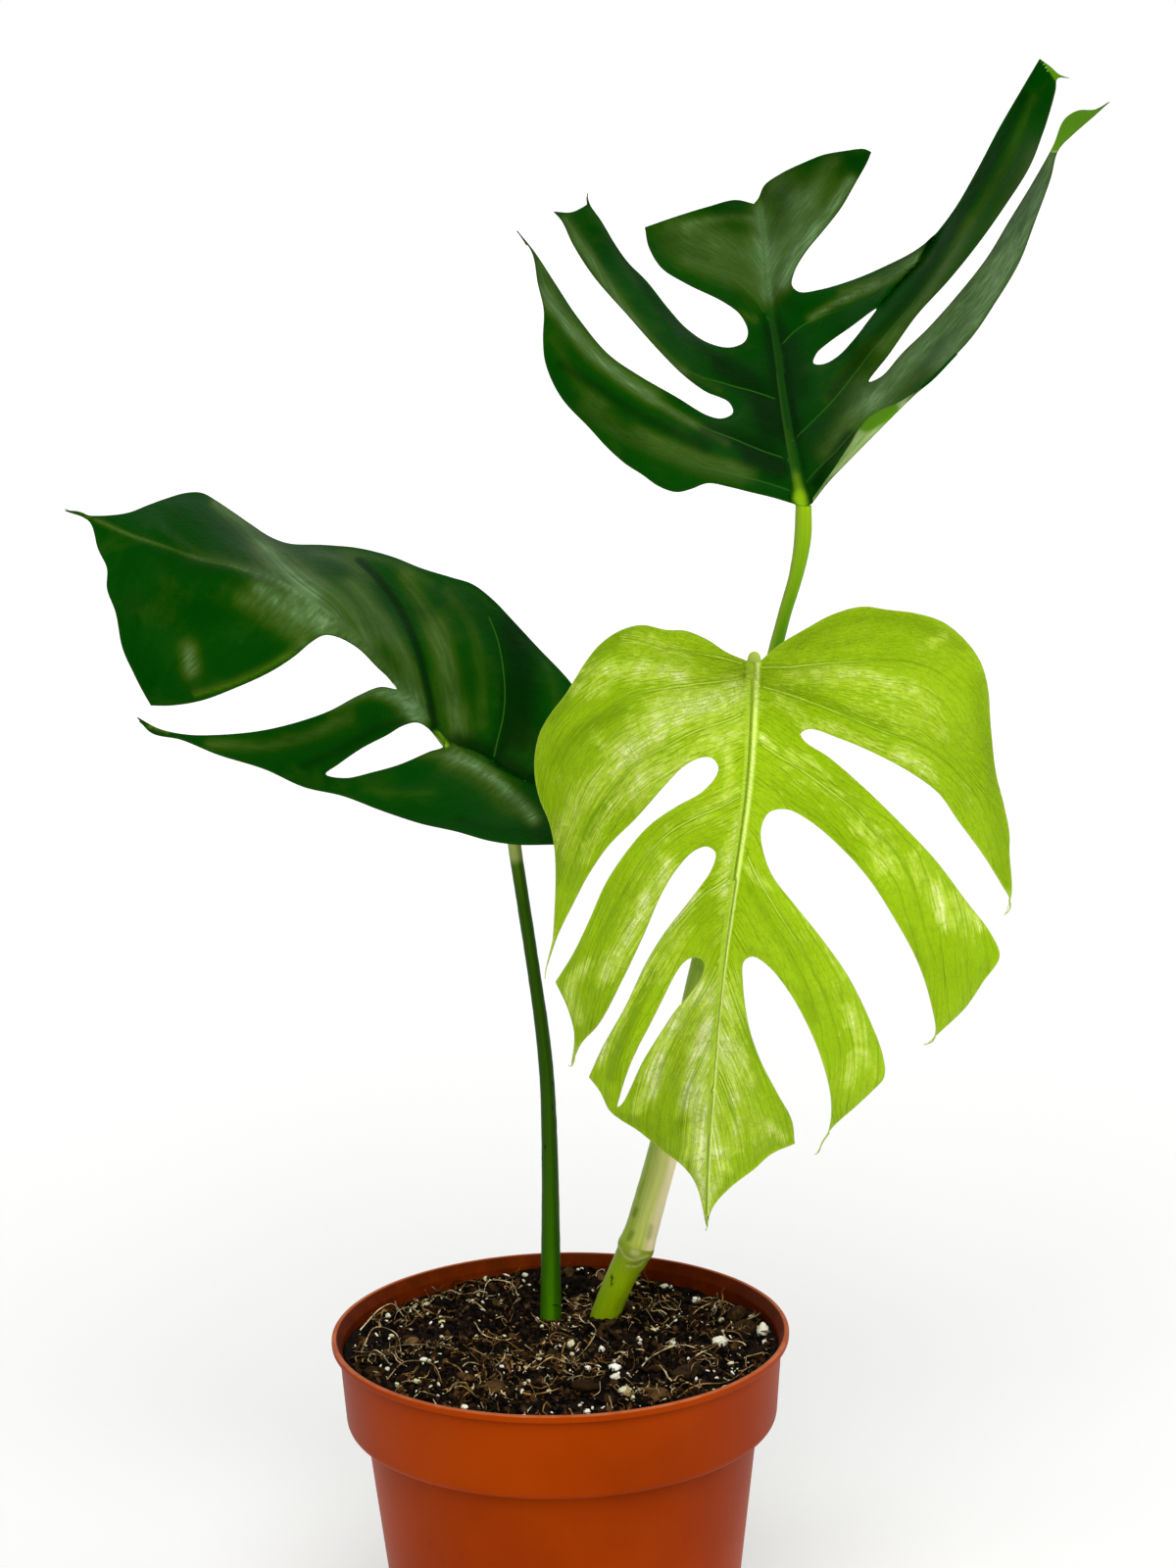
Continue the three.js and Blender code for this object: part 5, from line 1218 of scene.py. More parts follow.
def stem_piece(name, points, radii, finish, shape=None, marks=None, rings=slice(None)):
    """A petiole or stem, or the given rings of it. shape changes its radius (mm) by its distance along (mm)
    and angle; marks are strokes on its front, by the field that they change."""
    angle = np.arange(TUBE_SIDES) / TUBE_SIDES * 2 * math.pi
    grid = np.repeat(radii[:, None], TUBE_SIDES, axis=1)
    if shape is not None:
        grid = shape(grid, travelled(points)[:, None], angle[None])
    places, _, turn = tube_mesh(points, grid * MM)
    bumps = sum(noise_at(places, waves / MM, seed) * height for waves, height, seed in STEM_BUMPS)
    centre = np.repeat(points, TUBE_SIDES, axis=0)
    outward = (places - centre) / np.linalg.norm(places - centre, axis=1)[:, None]
    places = places + outward * bumps[:, None] * MM
    rows = np.arange(len(points))[rings]
    chosen = (rows[:, None] * TUBE_SIDES + np.arange(TUBE_SIDES)).ravel()
    places, turn = places[chosen], turn[chosen]
    rise = np.repeat(np.linspace(0, 1, len(rows)), TUBE_SIDES)
    front = np.clip(0.5 - 1.5 * np.sin(turn), 0, 1)
    fields = {"rise": rise, "round_x": np.cos(turn), "round_y": np.sin(turn)}
    for label in ("pale_tone_and_highlight", "stained", "speck"):
        fields[label] = front * stroked(seen_at(places), (marks or {}).get(label, []))
    made = mesh_object(name, places, tube_faces(len(rows), TUBE_SIDES), [finish], None, fields)
    cap = [(k, (k + 1) % TUBE_SIDES) for k in range(TUBE_SIDES)]
    last = len(places) - TUBE_SIDES
    sharpened(made, cap + [(last + a, last + b) for a, b in cap])
    return made


# The pot.
def filleted(corners, steps=6):
    """An outline of [radius, height, rounding] corners with each corner rounded by an arc."""
    outline = []
    for k, (r, z, rounding) in enumerate(corners):
        here = np.array((r, z), float)
        if rounding == 0 or k in (0, len(corners) - 1):
            outline.append(here)
            continue
        before = np.array(corners[k - 1][:2], float) - here
        after = np.array(corners[k + 1][:2], float) - here
        before_length, after_length = np.linalg.norm(before), np.linalg.norm(after)
        before, after = before / before_length, after / after_length
        half = math.acos(np.clip(before @ after, -1, 1)) / 2
        cut = min(rounding / math.tan(half), before_length * 0.49, after_length * 0.49)
        start, end = here + before * cut, here + after * cut
        for t in np.linspace(0, 1, steps + 1):
            outline.append((1 - t) ** 2 * start + 2 * t * (1 - t) * here + t * t * end)
    return np.array(outline)


def lathe(name, outline, sectors, finish):
    """An outline of radius and height in mm turned about the vertical axis. Its ends lie on the axis."""
    angle = np.arange(sectors) / sectors * 2 * math.pi
    points = [(0, 0, outline[0][1] * MM)]
    for r, z in outline[1:-1]:
        points += [(math.cos(a) * r * MM, math.sin(a) * r * MM, z * MM) for a in angle]
    top = len(points) - sectors
    points.append((0, 0, outline[-1][1] * MM))
    faces = []
    for s in range(sectors):
        t = (s + 1) % sectors
        faces.append((0, 1 + t, 1 + s))
        faces += [(k + s, k + t, k + sectors + t, k + sectors + s) for k in range(1, top, sectors)]
        faces.append((top + s, top + t, top + sectors))
    return mesh_object(name, points, faces, [finish])


def flattened(made):
    """The object with its modifiers applied."""
    graph = bpy.context.evaluated_depsgraph_get()
    mesh = bpy.data.meshes.new_from_object(made.evaluated_get(graph))
    made.modifiers.clear()
    made.data = mesh
    return made


# Levels and steps of the pot, in mm.
COLLAR_TOP = POT_HEIGHT - LIP_HEIGHT
COLLAR_FOOT = POT_HEIGHT - COLLAR_DROP
CHANNEL_SLOPE = 1.6
CHANNEL_CEILING = CHANNEL_HEIGHT + POT_FLOOR
SHARP_ANGLE = math.radians(35)


def pot():
    """The moulded pot: up its outside from the base disc, over the lip and down its inside, then drilled."""
    outline = filleted([
        (0, 0, 0), (BASE_DISC_RADIUS, 0, 0.7), (BASE_DISC_RADIUS + CHANNEL_SLOPE, CHANNEL_HEIGHT, 0.7),
        (CHANNEL_OUTER_RADIUS, CHANNEL_HEIGHT, 0.7), (CHANNEL_OUTER_RADIUS + CHANNEL_SLOPE, 0, 0.7),
        (BASE_RADIUS, 0, 1.4), (BODY_TOP_RADIUS, COLLAR_FOOT - 0.4, 0.5),
        (COLLAR_LOW_RADIUS, COLLAR_FOOT - 0.2, COLLAR_ROUNDING), (COLLAR_TOP_RADIUS, COLLAR_TOP, 0.5),
        (RIM_RADIUS - 0.1, COLLAR_TOP - 0.1, 0.8), (RIM_RADIUS, POT_HEIGHT, 0.8),
        (RIM_RADIUS - LIP_WIDTH, POT_HEIGHT, 0.6), (COLLAR_TOP_RADIUS - POT_WALL, COLLAR_TOP - 1.2, 1.0),
        (COLLAR_LOW_RADIUS - POT_WALL, COLLAR_FOOT + COLLAR_ROUNDING * 0.7, 4.0),
        (BODY_TOP_RADIUS - POT_WALL, COLLAR_FOOT + 0.8, 2.0), (BASE_RADIUS - POT_WALL, POT_FLOOR, 1.4),
        (CHANNEL_OUTER_RADIUS + 1.4, POT_FLOOR, 0.7), (CHANNEL_OUTER_RADIUS - 0.4, CHANNEL_CEILING, 0.7),
        (BASE_DISC_RADIUS + 1, CHANNEL_CEILING, 0.7), (BASE_DISC_RADIUS - 1, POT_FLOOR, 0.7),
        (0, POT_FLOOR, 0),
    ])
    made = lathe("plant_pot", outline, POT_SECTORS, moulded_polypropylene())
    drills = []
    for k in range(DRAIN_HOLES):
        angle = (k + 0.5) / DRAIN_HOLES * 2 * math.pi
        bpy.ops.mesh.primitive_cylinder_add(
            vertices=32, radius=DRAIN_HOLE_RADIUS * MM, depth=8 * MM,
            location=(math.cos(angle) * DRAIN_RING_RADIUS * MM, math.sin(angle) * DRAIN_RING_RADIUS * MM,
                      (CHANNEL_HEIGHT + 1) * MM))
        drills.append(bpy.context.object)
    drill = joined("drill", drills)
    cut = made.modifiers.new("drain_holes", "BOOLEAN")
    cut.object = drill
    cut.operation = "DIFFERENCE"
    cut.solver = "EXACT"
    flattened(made)
    bpy.data.objects.remove(drill)
    made.data.shade_smooth()
    made.data.set_sharp_from_angle(angle=SHARP_ANGLE)
    return made


# The soil.
SOIL_EDGE = POT_HEIGHT - SOIL_DROP


def soil_height(x, y):
    """The height of the soil's top in mm."""
    spread = math.hypot(x, y) / RIM_RADIUS
    mound = SOIL_MOUND * (1 - spread * spread) + SOIL_FRONT_RISE * min(max(0.45 - y / (2 * RIM_RADIUS), 0), 1)
    bearing = math.degrees(math.atan2(y, x))
    for middle, width, height in SOIL_HEAPS:
        mound += spread ** 4 * height * math.exp(-((bearing - middle) / width) ** 2)
    # Crumbs of three sizes: their height and width in mm, and a shift that keeps them apart.
    crumbs = sum(height * noise.noise(Vector((x, y, 0)) / width + Vector(shift))
                 for height, width, shift in SOIL_CRUMBS)
    return SOIL_EDGE + mound + crumbs * (1 - 0.5 * spread ** 4)


def soil_bed(finish):
    """The soil's own body: a closed form that fills the pot, with a crumbled top."""
    floor = POT_FLOOR + SOIL_GAP
    inset = POT_WALL + SOIL_GAP
    outline = [(0, floor), (BASE_DISC_RADIUS - 1, floor), (BASE_DISC_RADIUS + 1, CHANNEL_HEIGHT + floor),
               (CHANNEL_OUTER_RADIUS - 0.4, CHANNEL_HEIGHT + floor), (CHANNEL_OUTER_RADIUS + 1.4, floor),
               (BASE_RADIUS - 1 - inset, floor), (BASE_RADIUS - inset, POT_FLOOR * 2),
               (BODY_TOP_RADIUS - inset, COLLAR_FOOT + 0.6),
               (COLLAR_LOW_RADIUS - 3.8 - inset, COLLAR_FOOT + 3.4),
               (COLLAR_LOW_RADIUS - inset, COLLAR_FOOT + COLLAR_ROUNDING + 2.5),
               (SOIL_EDGE_RADIUS - 0.1, SOIL_EDGE - 3.5)]
    outline += [(SOIL_EDGE_RADIUS * (1 - k / SOIL_RINGS), SOIL_EDGE) for k in range(SOIL_RINGS + 1)]
    made = lathe("soil_bed", outline, SOIL_SECTORS, finish)
    for vertex in made.data.vertices:
        if vertex.co.z > (SOIL_EDGE - 1) * MM:
            vertex.co.z = soil_height(vertex.co.x / MM, vertex.co.y / MM) * MM
    return made


def scatter_patch(reach, feet, clearance):
    """The part of the soil's top where loose pieces lie, clear of the stems: not kept in the scene."""
    points, faces, numbers = [], [], {}
    count = int(reach // PATCH_STEP)
    for i in range(-count, count + 1):
        for j in range(-count, count + 1):
            x, y = i * PATCH_STEP, j * PATCH_STEP
            if math.hypot(x, y) > reach or any(math.hypot(x - fx, y - fy) < clearance for fx, fy in feet):
                continue
            numbers[i, j] = len(points)
            points.append((x * MM, y * MM, soil_height(x, y) * MM))
    for i, j in numbers:
        ring = [(i, j), (i + 1, j), (i + 1, j + 1), (i, j + 1)]
        if all(corner in numbers for corner in ring):
            faces.append([numbers[corner] for corner in ring])
    return mesh_object("scatter_patch", points, faces, [])


# Geometry Nodes that strew the soil's loose matter.
def strewing_tree(name, **sockets):
    """An empty tree with its named inputs, listed for each kind of socket, and what it is given."""
    tree = bpy.data.node_groups.new(name, "GeometryNodeTree")
    for way in ("INPUT", "OUTPUT"):
        tree.interface.new_socket("Geometry", in_out=way, socket_type="NodeSocketGeometry")
    for kind, labels in sockets.items():
        for label in labels.split(", "):
            tree.interface.new_socket(label, in_out="INPUT", socket_type="NodeSocket" + kind)
    return tree, node(tree, "NodeGroupInput").outputs


def strewn_points(tree, given):
    """Points at random on the surface, gathered into clumps of about 13 mm as far as Clumping says."""
    cloud = node(tree, "TexNoise", {"Scale": 75.0, "Detail": 2.0})
    clump = node(tree, "MapRange", {
        "Value": cloud, "From Min": 0.46, "From Max": 0.6, "To Min": 0.0, "To Max": 2.2})
    share = node(tree, "Mix", {"Factor": given["Clumping"], "A": 1.0, "B": clump},
                 data_type="FLOAT")
    density = node(tree, "Math", {0: given["Density"], 1: share}, operation="MULTIPLY")
    return node(tree, "GeometryNodeDistributePointsOnFaces",
                {"Mesh": given["Geometry"], "Density": density, "Seed": given["Seed"]})


def held_within(tree, geometry, reach):
    """Whatever would stick out past a radius from the pot's axis is pressed back to it."""
    place = node(tree, "GeometryNodeInputPosition")
    parts = node(tree, "SeparateXYZ", {0: place}).outputs
    flat = node(tree, "CombineXYZ", {0: parts["X"], 1: parts["Y"]})
    radius = node(tree, "VectorMath", {0: flat}, operation="LENGTH")
    factor = node(tree, "Math", {0: reach, 1: radius}, operation="DIVIDE")
    factor = node(tree, "Math", {0: factor, 1: 1.0}, operation="MINIMUM")
    pressed = node(tree, "VectorMath", {0: flat, "Scale": factor}, operation="SCALE")
    lifted = node(tree, "CombineXYZ", {2: parts["Z"]})
    both = node(tree, "VectorMath", {0: pressed, 1: lifted}, operation="ADD")
    return node(tree, "GeometryNodeSetPosition", {"Geometry": geometry, "Position": both})


def strewn(tree, given, piece, leans, scale, strength, fineness, rise):
    """Ends a tree: its piece lies at random on the surface, turned all ways and leaning up to leans about X
    and Y. Each one gets its tone. All are bent by a noise of that strength and fineness, lifted by rise,
    held within Reach, smoothed and given their material."""
    back = [node(tree, "Math", {0: lean, 1: -1.0}, operation="MULTIPLY") for lean in leans]
    low = node(tree, "CombineXYZ", {0: back[0], 1: back[1], 2: 0.0})
    high = node(tree, "CombineXYZ", {0: leans[0], 1: leans[1], 2: 2 * math.pi})
    turn = node(tree, "FunctionNodeRandomValue", {"Min": low, "Max": high, "Seed": 5},
                data_type="FLOAT_VECTOR")
    placed = node(tree, "GeometryNodeInstanceOnPoints", {
        "Points": strewn_points(tree, given), "Instance": piece, "Rotation": turn, "Scale": scale})
    tone = node(tree, "FunctionNodeRandomValue", {"Min": 0.0, "Max": 1.0, "Seed": 3}, data_type="FLOAT")
    marked = node(tree, "GeometryNodeStoreNamedAttribute", {
        "Geometry": placed, "Name": "tone", "Value": tone}, data_type="FLOAT", domain="INSTANCE")
    whole = node(tree, "GeometryNodeRealizeInstances", {"Geometry": marked})
    bend = node(tree, "TexNoise", {"Scale": fineness, "Detail": 1.0}).outputs["Color"]
    bend = node(tree, "VectorMath", {0: bend, 1: (0.5, 0.5, 0.5)}, operation="SUBTRACT")
    bend = node(tree, "VectorMath", {0: bend, "Scale": strength}, operation="SCALE")
    lift = node(tree, "CombineXYZ", {2: rise})
    offset = node(tree, "VectorMath", {0: bend, 1: lift}, operation="ADD")
    shaped = node(tree, "GeometryNodeSetPosition", {"Geometry": whole, "Offset": offset})
    held = held_within(tree, shaped, given["Reach"])
    smooth = node(tree, "GeometryNodeSetShadeSmooth", {"Geometry": held, "Shade Smooth": True})
    finished = node(tree, "GeometryNodeSetMaterial", {"Geometry": smooth, "Material": given["Material"]})
    node(tree, "NodeGroupOutput", {"Geometry": finished})
    return tree


def grain_tree():
    """Rough grains of random size and turn, more small ones than large ones."""
    tree, given = strewing_tree(
        "strewn_grains", Float="Density, Roughening, Grain, Sink, Tilt, Clumping, Reach",
        Vector="Smallest, Largest", Int="Fineness, Seed", Material="Material")
    grain = node(tree, "GeometryNodeMeshIcoSphere", {"Radius": 1.0, "Subdivisions": given["Fineness"]})
    size = node(tree, "FunctionNodeRandomValue", {
        "Min": given["Smallest"], "Max": given["Largest"], "Seed": given["Seed"]}, data_type="FLOAT_VECTOR")
    skew = node(tree, "FunctionNodeRandomValue", {"Min": 0.0, "Max": 1.0, "Seed": 7}, data_type="FLOAT")
    small = node(tree, "Math", {0: skew, 1: 1.6}, operation="POWER")
    scale = node(tree, "Mix", {"Factor": small, "A": given["Smallest"], "B": size},
                 data_type="VECTOR")
    return strewn(tree, given, grain, (given["Tilt"], given["Tilt"]), scale, given["Roughening"],
                  given["Grain"], given["Sink"])


def fibre_tree():
    """Thin curled fibres, thickest in the middle."""
    tree, given = strewing_tree(
        "strewn_fibres", Int="Seed", Material="Material",
        Float="Density, Shortest, Longest, Thickness, Curl, Curl Scale, Lift, Steepness, Clumping, Reach")
    line = node(tree, "GeometryNodeCurvePrimitiveLine", {"Start": (-0.5, 0, 0), "End": (0.5, 0, 0)})
    bent = node(tree, "GeometryNodeResampleCurve", {"Curve": line, "Count": 12})
    place = node(tree, "GeometryNodeSplineParameter")
    bow = node(tree, "Math", {0: place, 1: math.pi}, operation="MULTIPLY")
    taper = node(tree, "Math", {0: bow}, operation="SINE")
    girth = node(tree, "MapRange", {"Value": taper, "To Min": 0.35, "To Max": 1.0})
    girded = node(tree, "GeometryNodeSetCurveRadius", {"Curve": bent, "Radius": girth})
    section = node(tree, "GeometryNodeCurvePrimitiveCircle", {"Resolution": 3, "Radius": given["Thickness"]})
    tube = node(tree, "GeometryNodeCurveToMesh", {
        "Curve": girded, "Profile Curve": section, "Fill Caps": True})
    length = node(tree, "FunctionNodeRandomValue", {
        "Min": given["Shortest"], "Max": given["Longest"], "Seed": given["Seed"]}, data_type="FLOAT")
    scale = node(tree, "CombineXYZ", {0: length, 1: 1.0, 2: 1.0})
    return strewn(tree, given, tube, (0.25, given["Steepness"]), scale, given["Curl"], given["Curl Scale"],
                  given["Lift"])


def on_soil(u, v, clearance):
    """Where the line of sight through [u, v] meets the soil's top, in mm, kept clear of the pot's wall."""
    near, far = (sighted([[u, v]], [depth])[0] / MM for depth in (-RIM_RADIUS, RIM_RADIUS))
    for t in np.linspace(0, 1, SIGHT_STEPS):
        x, y, z = near + (far - near) * t
        if z <= soil_height(x, y):
            break
    inward = min(1, (SOIL_EDGE_RADIUS - clearance) / math.hypot(x, y))
    return np.array((x * inward, y * inward, soil_height(x * inward, y * inward)))


def lumps(name, lumps_wanted, finish, seed):
    """Single pieces [u, v, length in mm, flatness] lying on the soil where they are seen."""
    draw = np.random.default_rng(seed)
    made = []
    for u, v, length, flatness in lumps_wanted:
        centre = on_soil(u, v, 0.75 * length)
        bpy.ops.mesh.primitive_ico_sphere_add(subdivisions=3, radius=length / 2 * MM)
        lump = bpy.context.object
        lump.data.materials.append(finish)
        shift = Vector(draw.uniform(-50, 50, 3))
        size = Vector((1.0, draw.uniform(0.6, 0.9), draw.uniform(0.55, 0.8) * flatness))
        turn = Matrix.Rotation(draw.uniform(0, 2 * math.pi), 3, "Z")
        turn = turn @ Matrix.Rotation(draw.uniform(-0.4, 0.4), 3, "X")
        for vertex in lump.data.vertices:
            way = vertex.co.normalized()
            bulge = 1 + 0.35 * noise.noise(way * 1.4 + shift) + 0.14 * noise.noise(way * 4 + shift)
            place = turn @ (vertex.co * bulge * size)
            vertex.co = place + Vector(centre * MM) + Vector((0, 0, 0.12 * length * MM))
        layer = lump.data.attributes.new("tone", "FLOAT", "POINT")
        layer.data.foreach_set("value", np.full(len(lump.data.vertices), draw.uniform(), np.float32))
        lump.data.shade_smooth()
        made.append(lump)
    return joined(name, made)


def roots(name, lines, finish):
    """Single long fibres [thickness in mm, tone, lift in mm, sights] lying over the soil."""
    made = []
    for thickness, tone, lift, sights in lines:
        knots = np.array([on_soil(u, v, ROOT_CLEARANCE) for u, v in sights])
        knots[:, 2] += ROOT_STAND + lift * np.sin(np.linspace(0, math.pi, len(knots)))
        points, _ = smooth_curve(knots * MM, ROOT_STEPS)
        radii = np.linspace(1.0, 0.5, len(points)) * thickness / 2 * MM
        places, faces, _ = tube_mesh(points, radii, ROOT_SIDES)
        made.append(mesh_object("root", places, faces, [finish], None, {"tone": np.full(len(places), tone)}))
    return joined(name, made)


def strewn_piece(name, patch, tree, inputs):
    """A patch's copy turned into what the tree strews on it, as a plain mesh."""
    made = bpy.data.objects.new(name, patch.data.copy())
    bpy.context.scene.collection.objects.link(made)
    modifier = made.modifiers.new("strewing", "NODES")
    modifier.node_group = tree
    identifiers = {item.name: item.identifier for item in tree.interface.items_tree if item.in_out == "INPUT"}
    for label, value in inputs.items():
        modifier[identifiers[label]] = value
    made.update_tag()
    bpy.context.view_layer.update()
    flattened(made)
    made.data.name = name
    return made


def kept(piece, slot, *nodes):
    """The piece rides on the part's one body, and stands for the named nodes."""
    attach(piece, BODY)
    if nodes:
        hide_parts(*nodes)


# The leaves.
dark_finishes = [
    dark_cuticle(), underside("mature_leaf_underside", "#7C9C50", "#A2BC78", "#A8C070", "#508400")]
young_finishes = [
    young_cuticle(), underside("young_leaf_underside", "#93BC2A", "#B0CF4E", "#C3DB70", "#9CC40E")]

# Heights in mm, scales in waves per mm, and how strongly midrib and veins are marked in colour.
YOUNG_RELIEF = dict(
    pillow=0.8, fine=0.08, wrinkle=0.9, wrinkle_scale=0.06, pucker=0.55, pucker_scale=0.2, wave=1.2,
    groove=0.45, ridge=0.42, rib_up=0.9, rib_groove=0.3, keel=2.2, rib_hidden=-1, rib_mark=1, rib_fade=0,
    crest_place=-0.5, vein_mark=1, streaked=1)
TOP_RELIEF = dict(
    pillow=0.9, fine=0.05, wrinkle=0.8, wrinkle_scale=0.04, pucker=0.12, pucker_scale=0.16, wave=0.9,
    groove=0.3, ridge=0.15, rib_up=0.3, rib_groove=0.35, keel=2.2, crease=2.6, crease_width=14,
    crease_shade=0.6, rib_hidden=-1, rib_mark=1, rib_fade=0.75, crest_place=-0.7, vein_mark=0.9,
    streaked=1)
LEFT_RELIEF = TOP_RELIEF | dict(
    pillow=0.55, wrinkle=0.5, crease=2.4, crease_width=16, crease_shade=1, rib_up=0.4, rib_hidden=0.22,
    rib_mark=0.12, vein_mark=0.4, streaked=0.5)

# The midribs' half widths at base and tip are in sights.
young_blade = joined("young_blade", [
    blade("young_blade", YOUNG_LEAF, (7.5, 2.2), young_finishes, YOUNG_RELIEF),
    *thread_tips(YOUNG_LEAF, young_finishes)])
left_blade = joined("left_blade", [
    blade("left_blade", LEFT_LEAF, (3.6, 1.5), dark_finishes, LEFT_RELIEF, False),
    *thread_tips(LEFT_LEAF, dark_finishes)])
top_blade = joined("top_blade", [
    blade("top_blade", TOP_LEAF, (5.8, 1.8), dark_finishes, TOP_RELIEF),
    rolled_hem(TOP_LEAF, dark_finishes), *thread_tips(TOP_LEAF, dark_finishes)])
kept(young_blade, "young_blade", "leaf_young")
kept(left_blade, "dark_blade", "leaf_left")
kept(top_blade, "dark_blade", "leaf_top")

# The stem and the petioles.
stem_finish = stem_skin(
    "stem_skin",
    [(0.0, "#7E9E00"), (0.45, "#88A600"), (0.78, "#92AE0A"), (0.93, "#94A82A"), (1.0, "#A2B040")],
    "#90A806", 0.7, "#86A418", 0.5, 0.9)
top_petiole_finish = stem_skin(
    "top_petiole_skin",
    [(0.0, "#B8C84A"), (0.03, "#D2DC6C"), (0.16, "#E2E88C"), (0.42, "#8DA83E"), (0.62, "#4C7A12"),
     (0.8, "#3F7808"), (0.92, "#7FAE12"), (1.0, "#94BA0E")],
    "#FFF0BE", 0.85, "#90AC30", 0.75, 0.85, 0.18)
young_petiole_finish = stem_skin(
    "young_petiole_skin", [(0.0, "#8FB52C"), (1.0, "#A4B84A")], "#B4CC5A", 0.4, "#7C982A", 0.4, 0.8)
left_petiole_finish = stem_skin(
    "left_petiole_skin",
    [(0.0, "#4C8C00"), (0.12, "#458000"), (0.24, "#366A00"), (0.4, "#2C5600"), (0.65, "#264C00"),
     (0.8, "#305C00"), (0.86, "#4F7C0C"), (0.9, "#86A02A"), (1.0, "#8CAA30")],
    "#143C00", 0.7, "#143C00", 0.5, 0.85)

whole_line, whole_radii = buried(*stem_points(STEM_LINE), BURIED_DEPTH)
ring_height = sighted([NODE_RING[:2]], [NODE_RING[2]])[0][2]
ring_row = int(np.argmax(whole_line[:, 2] > ring_height))
ring_travel = travelled(whole_line)[ring_row]


def stem_shape(radii, travel, angle):
    """A low scar collar over a groove where the petiole leaves the stem, dipping at the front, and above it
    the petiole's flattened sheath with a raised edge along its front and right."""
    above = travel - ring_travel
    scar = above + 1.6 - 1.2 * np.sin(angle)
    collar = 0.3 * np.exp(-(scar / 1.4) ** 2) - 0.14 * np.exp(-((scar + 2.6) / 0.8) ** 2)
    bulge = 0.35 * np.exp(-(above / 3.0) ** 2) * (1 - np.sin(angle))
    share = np.clip(1 - above / SHEATH_LENGTH, 0, 1) * smoothstep(above, 0, 7)
    edge, hollow = (height * share * np.exp(-((angle - place) / width) ** 2)
                    for place, width, height in SHEATH_FORMS)
    return radii + collar + bulge + edge - hollow


stem = stem_piece("stem_foot", whole_line, whole_radii, stem_finish, stem_shape, STEM_MARKS,
                  slice(None, ring_row + 1))
top_petiole = stem_piece("top_petiole", whole_line, whole_radii, top_petiole_finish, stem_shape, STEM_MARKS,
                         slice(ring_row, None))
young_petiole = stem_piece("young_petiole", *stem_points(YOUNG_PETIOLE_LINE), young_petiole_finish)
left_petiole = stem_piece("left_petiole", *buried(*stem_points(LEFT_PETIOLE_LINE), BURIED_DEPTH),
                          left_petiole_finish, None, LEFT_PETIOLE_MARKS)
kept(stem, "stem_skin", "stem")
kept(top_petiole, "stem_skin", "petiole_top")
kept(young_petiole, "stem_skin", "petiole_young")
kept(left_petiole, "dark_petiole", "petiole_left")

# The pot and its soil.
kept(pot(), "pot_plastic", "pot")
kept(soil_bed(damp_peat()), "potting_soil", "soil")

feet = [tuple(sighted([line[0][:2]], [line[0][2]])[0][:2] / MM) for line in (STEM_LINE, LEFT_PETIOLE_LINE)]
patch = scatter_patch(SOIL_EDGE_RADIUS - 1.0, feet, STEM_CLEARANCE)
grains, fibres = grain_tree(), fibre_tree()
peat = toned("peat_crumbs", ["#020100", "#060301", "#0E0703", "#2E1C0C", "#5A3C1E"], 0.92, 1.11111, 0.4)
bark = toned("pine_bark", ["#1C1206", "#382610", "#584020", "#6C5230"], 0.85, 2, 0.5)
perlite = toned("expanded_perlite", ["#D4D8A0", "#ECE8CC", "#FFFDF0"], 0.8, 1.42857, 0.3, 0.85)
coir = toned("coir_fibre", ["#120A04", "#2E1C0A", "#6A4A22", "#BC9050", "#FFEAB4"], 0.7, 3.33333, 0.1, 0.22)

# Lengths in metres, densities per square metre, Grain and Curl Scale in waves per metre.
strewn_pieces = {
    "peat_crumbs": (grains, {
        "Density": 400000.0, "Smallest": (0.0004, 0.0004, 0.0003), "Largest": (0.0028, 0.0022, 0.0019),
        "Roughening": 0.0022, "Grain": 700.0, "Sink": 0.0001, "Tilt": 1.2, "Fineness": 1, "Seed": 11,
        "Clumping": 0.4, "Reach": 0.0711, "Material": peat}),
    "bark_chips": (grains, {
        "Density": 4500.0, "Smallest": (0.0012, 0.0009, 0.0004), "Largest": (0.0062, 0.0034, 0.0014),
        "Roughening": 0.0026, "Grain": 380.0, "Sink": 0.0003, "Tilt": 0.7, "Fineness": 2, "Seed": 23,
        "Clumping": 0.0, "Reach": 0.0709, "Material": bark}),
    "perlite_grit": (grains, {
        "Density": 26000.0, "Smallest": (0.0002, 0.0002, 0.00015), "Largest": (0.0017, 0.0014, 0.0012),
        "Roughening": 0.0005, "Grain": 900.0, "Sink": 0.0009, "Tilt": 1.0, "Fineness": 1, "Seed": 31,
        "Clumping": 0.3, "Reach": 0.0707, "Material": perlite}),
    "coir_fibres": (fibres, {
        "Density": 36000.0, "Shortest": 0.003, "Longest": 0.018, "Thickness": 0.00013, "Curl": 0.014,
        "Curl Scale": 130.0, "Lift": 0.0012, "Steepness": 0.6, "Seed": 41, "Clumping": 1.0, "Reach": 0.0711,
        "Material": coir}),
    "coir_shreds": (fibres, {
        "Density": 70000.0, "Shortest": 0.001, "Longest": 0.006, "Thickness": 0.0002, "Curl": 0.006,
        "Curl Scale": 260.0, "Lift": 0.0008, "Steepness": 1.0, "Seed": 57, "Clumping": 1.0, "Reach": 0.0709,
        "Material": coir}),
}
for name, (tree, inputs) in strewn_pieces.items():
    kept(strewn_piece(name, patch, tree, inputs), "potting_soil")
bpy.data.objects.remove(patch)
kept(lumps("perlite_stones", PERLITE_STONES, perlite, 5), "potting_soil")
kept(lumps("bark_lumps", BARK_LUMPS, bark, 8), "potting_soil")
kept(roots("long_roots", LONG_ROOTS, coir), "potting_soil")


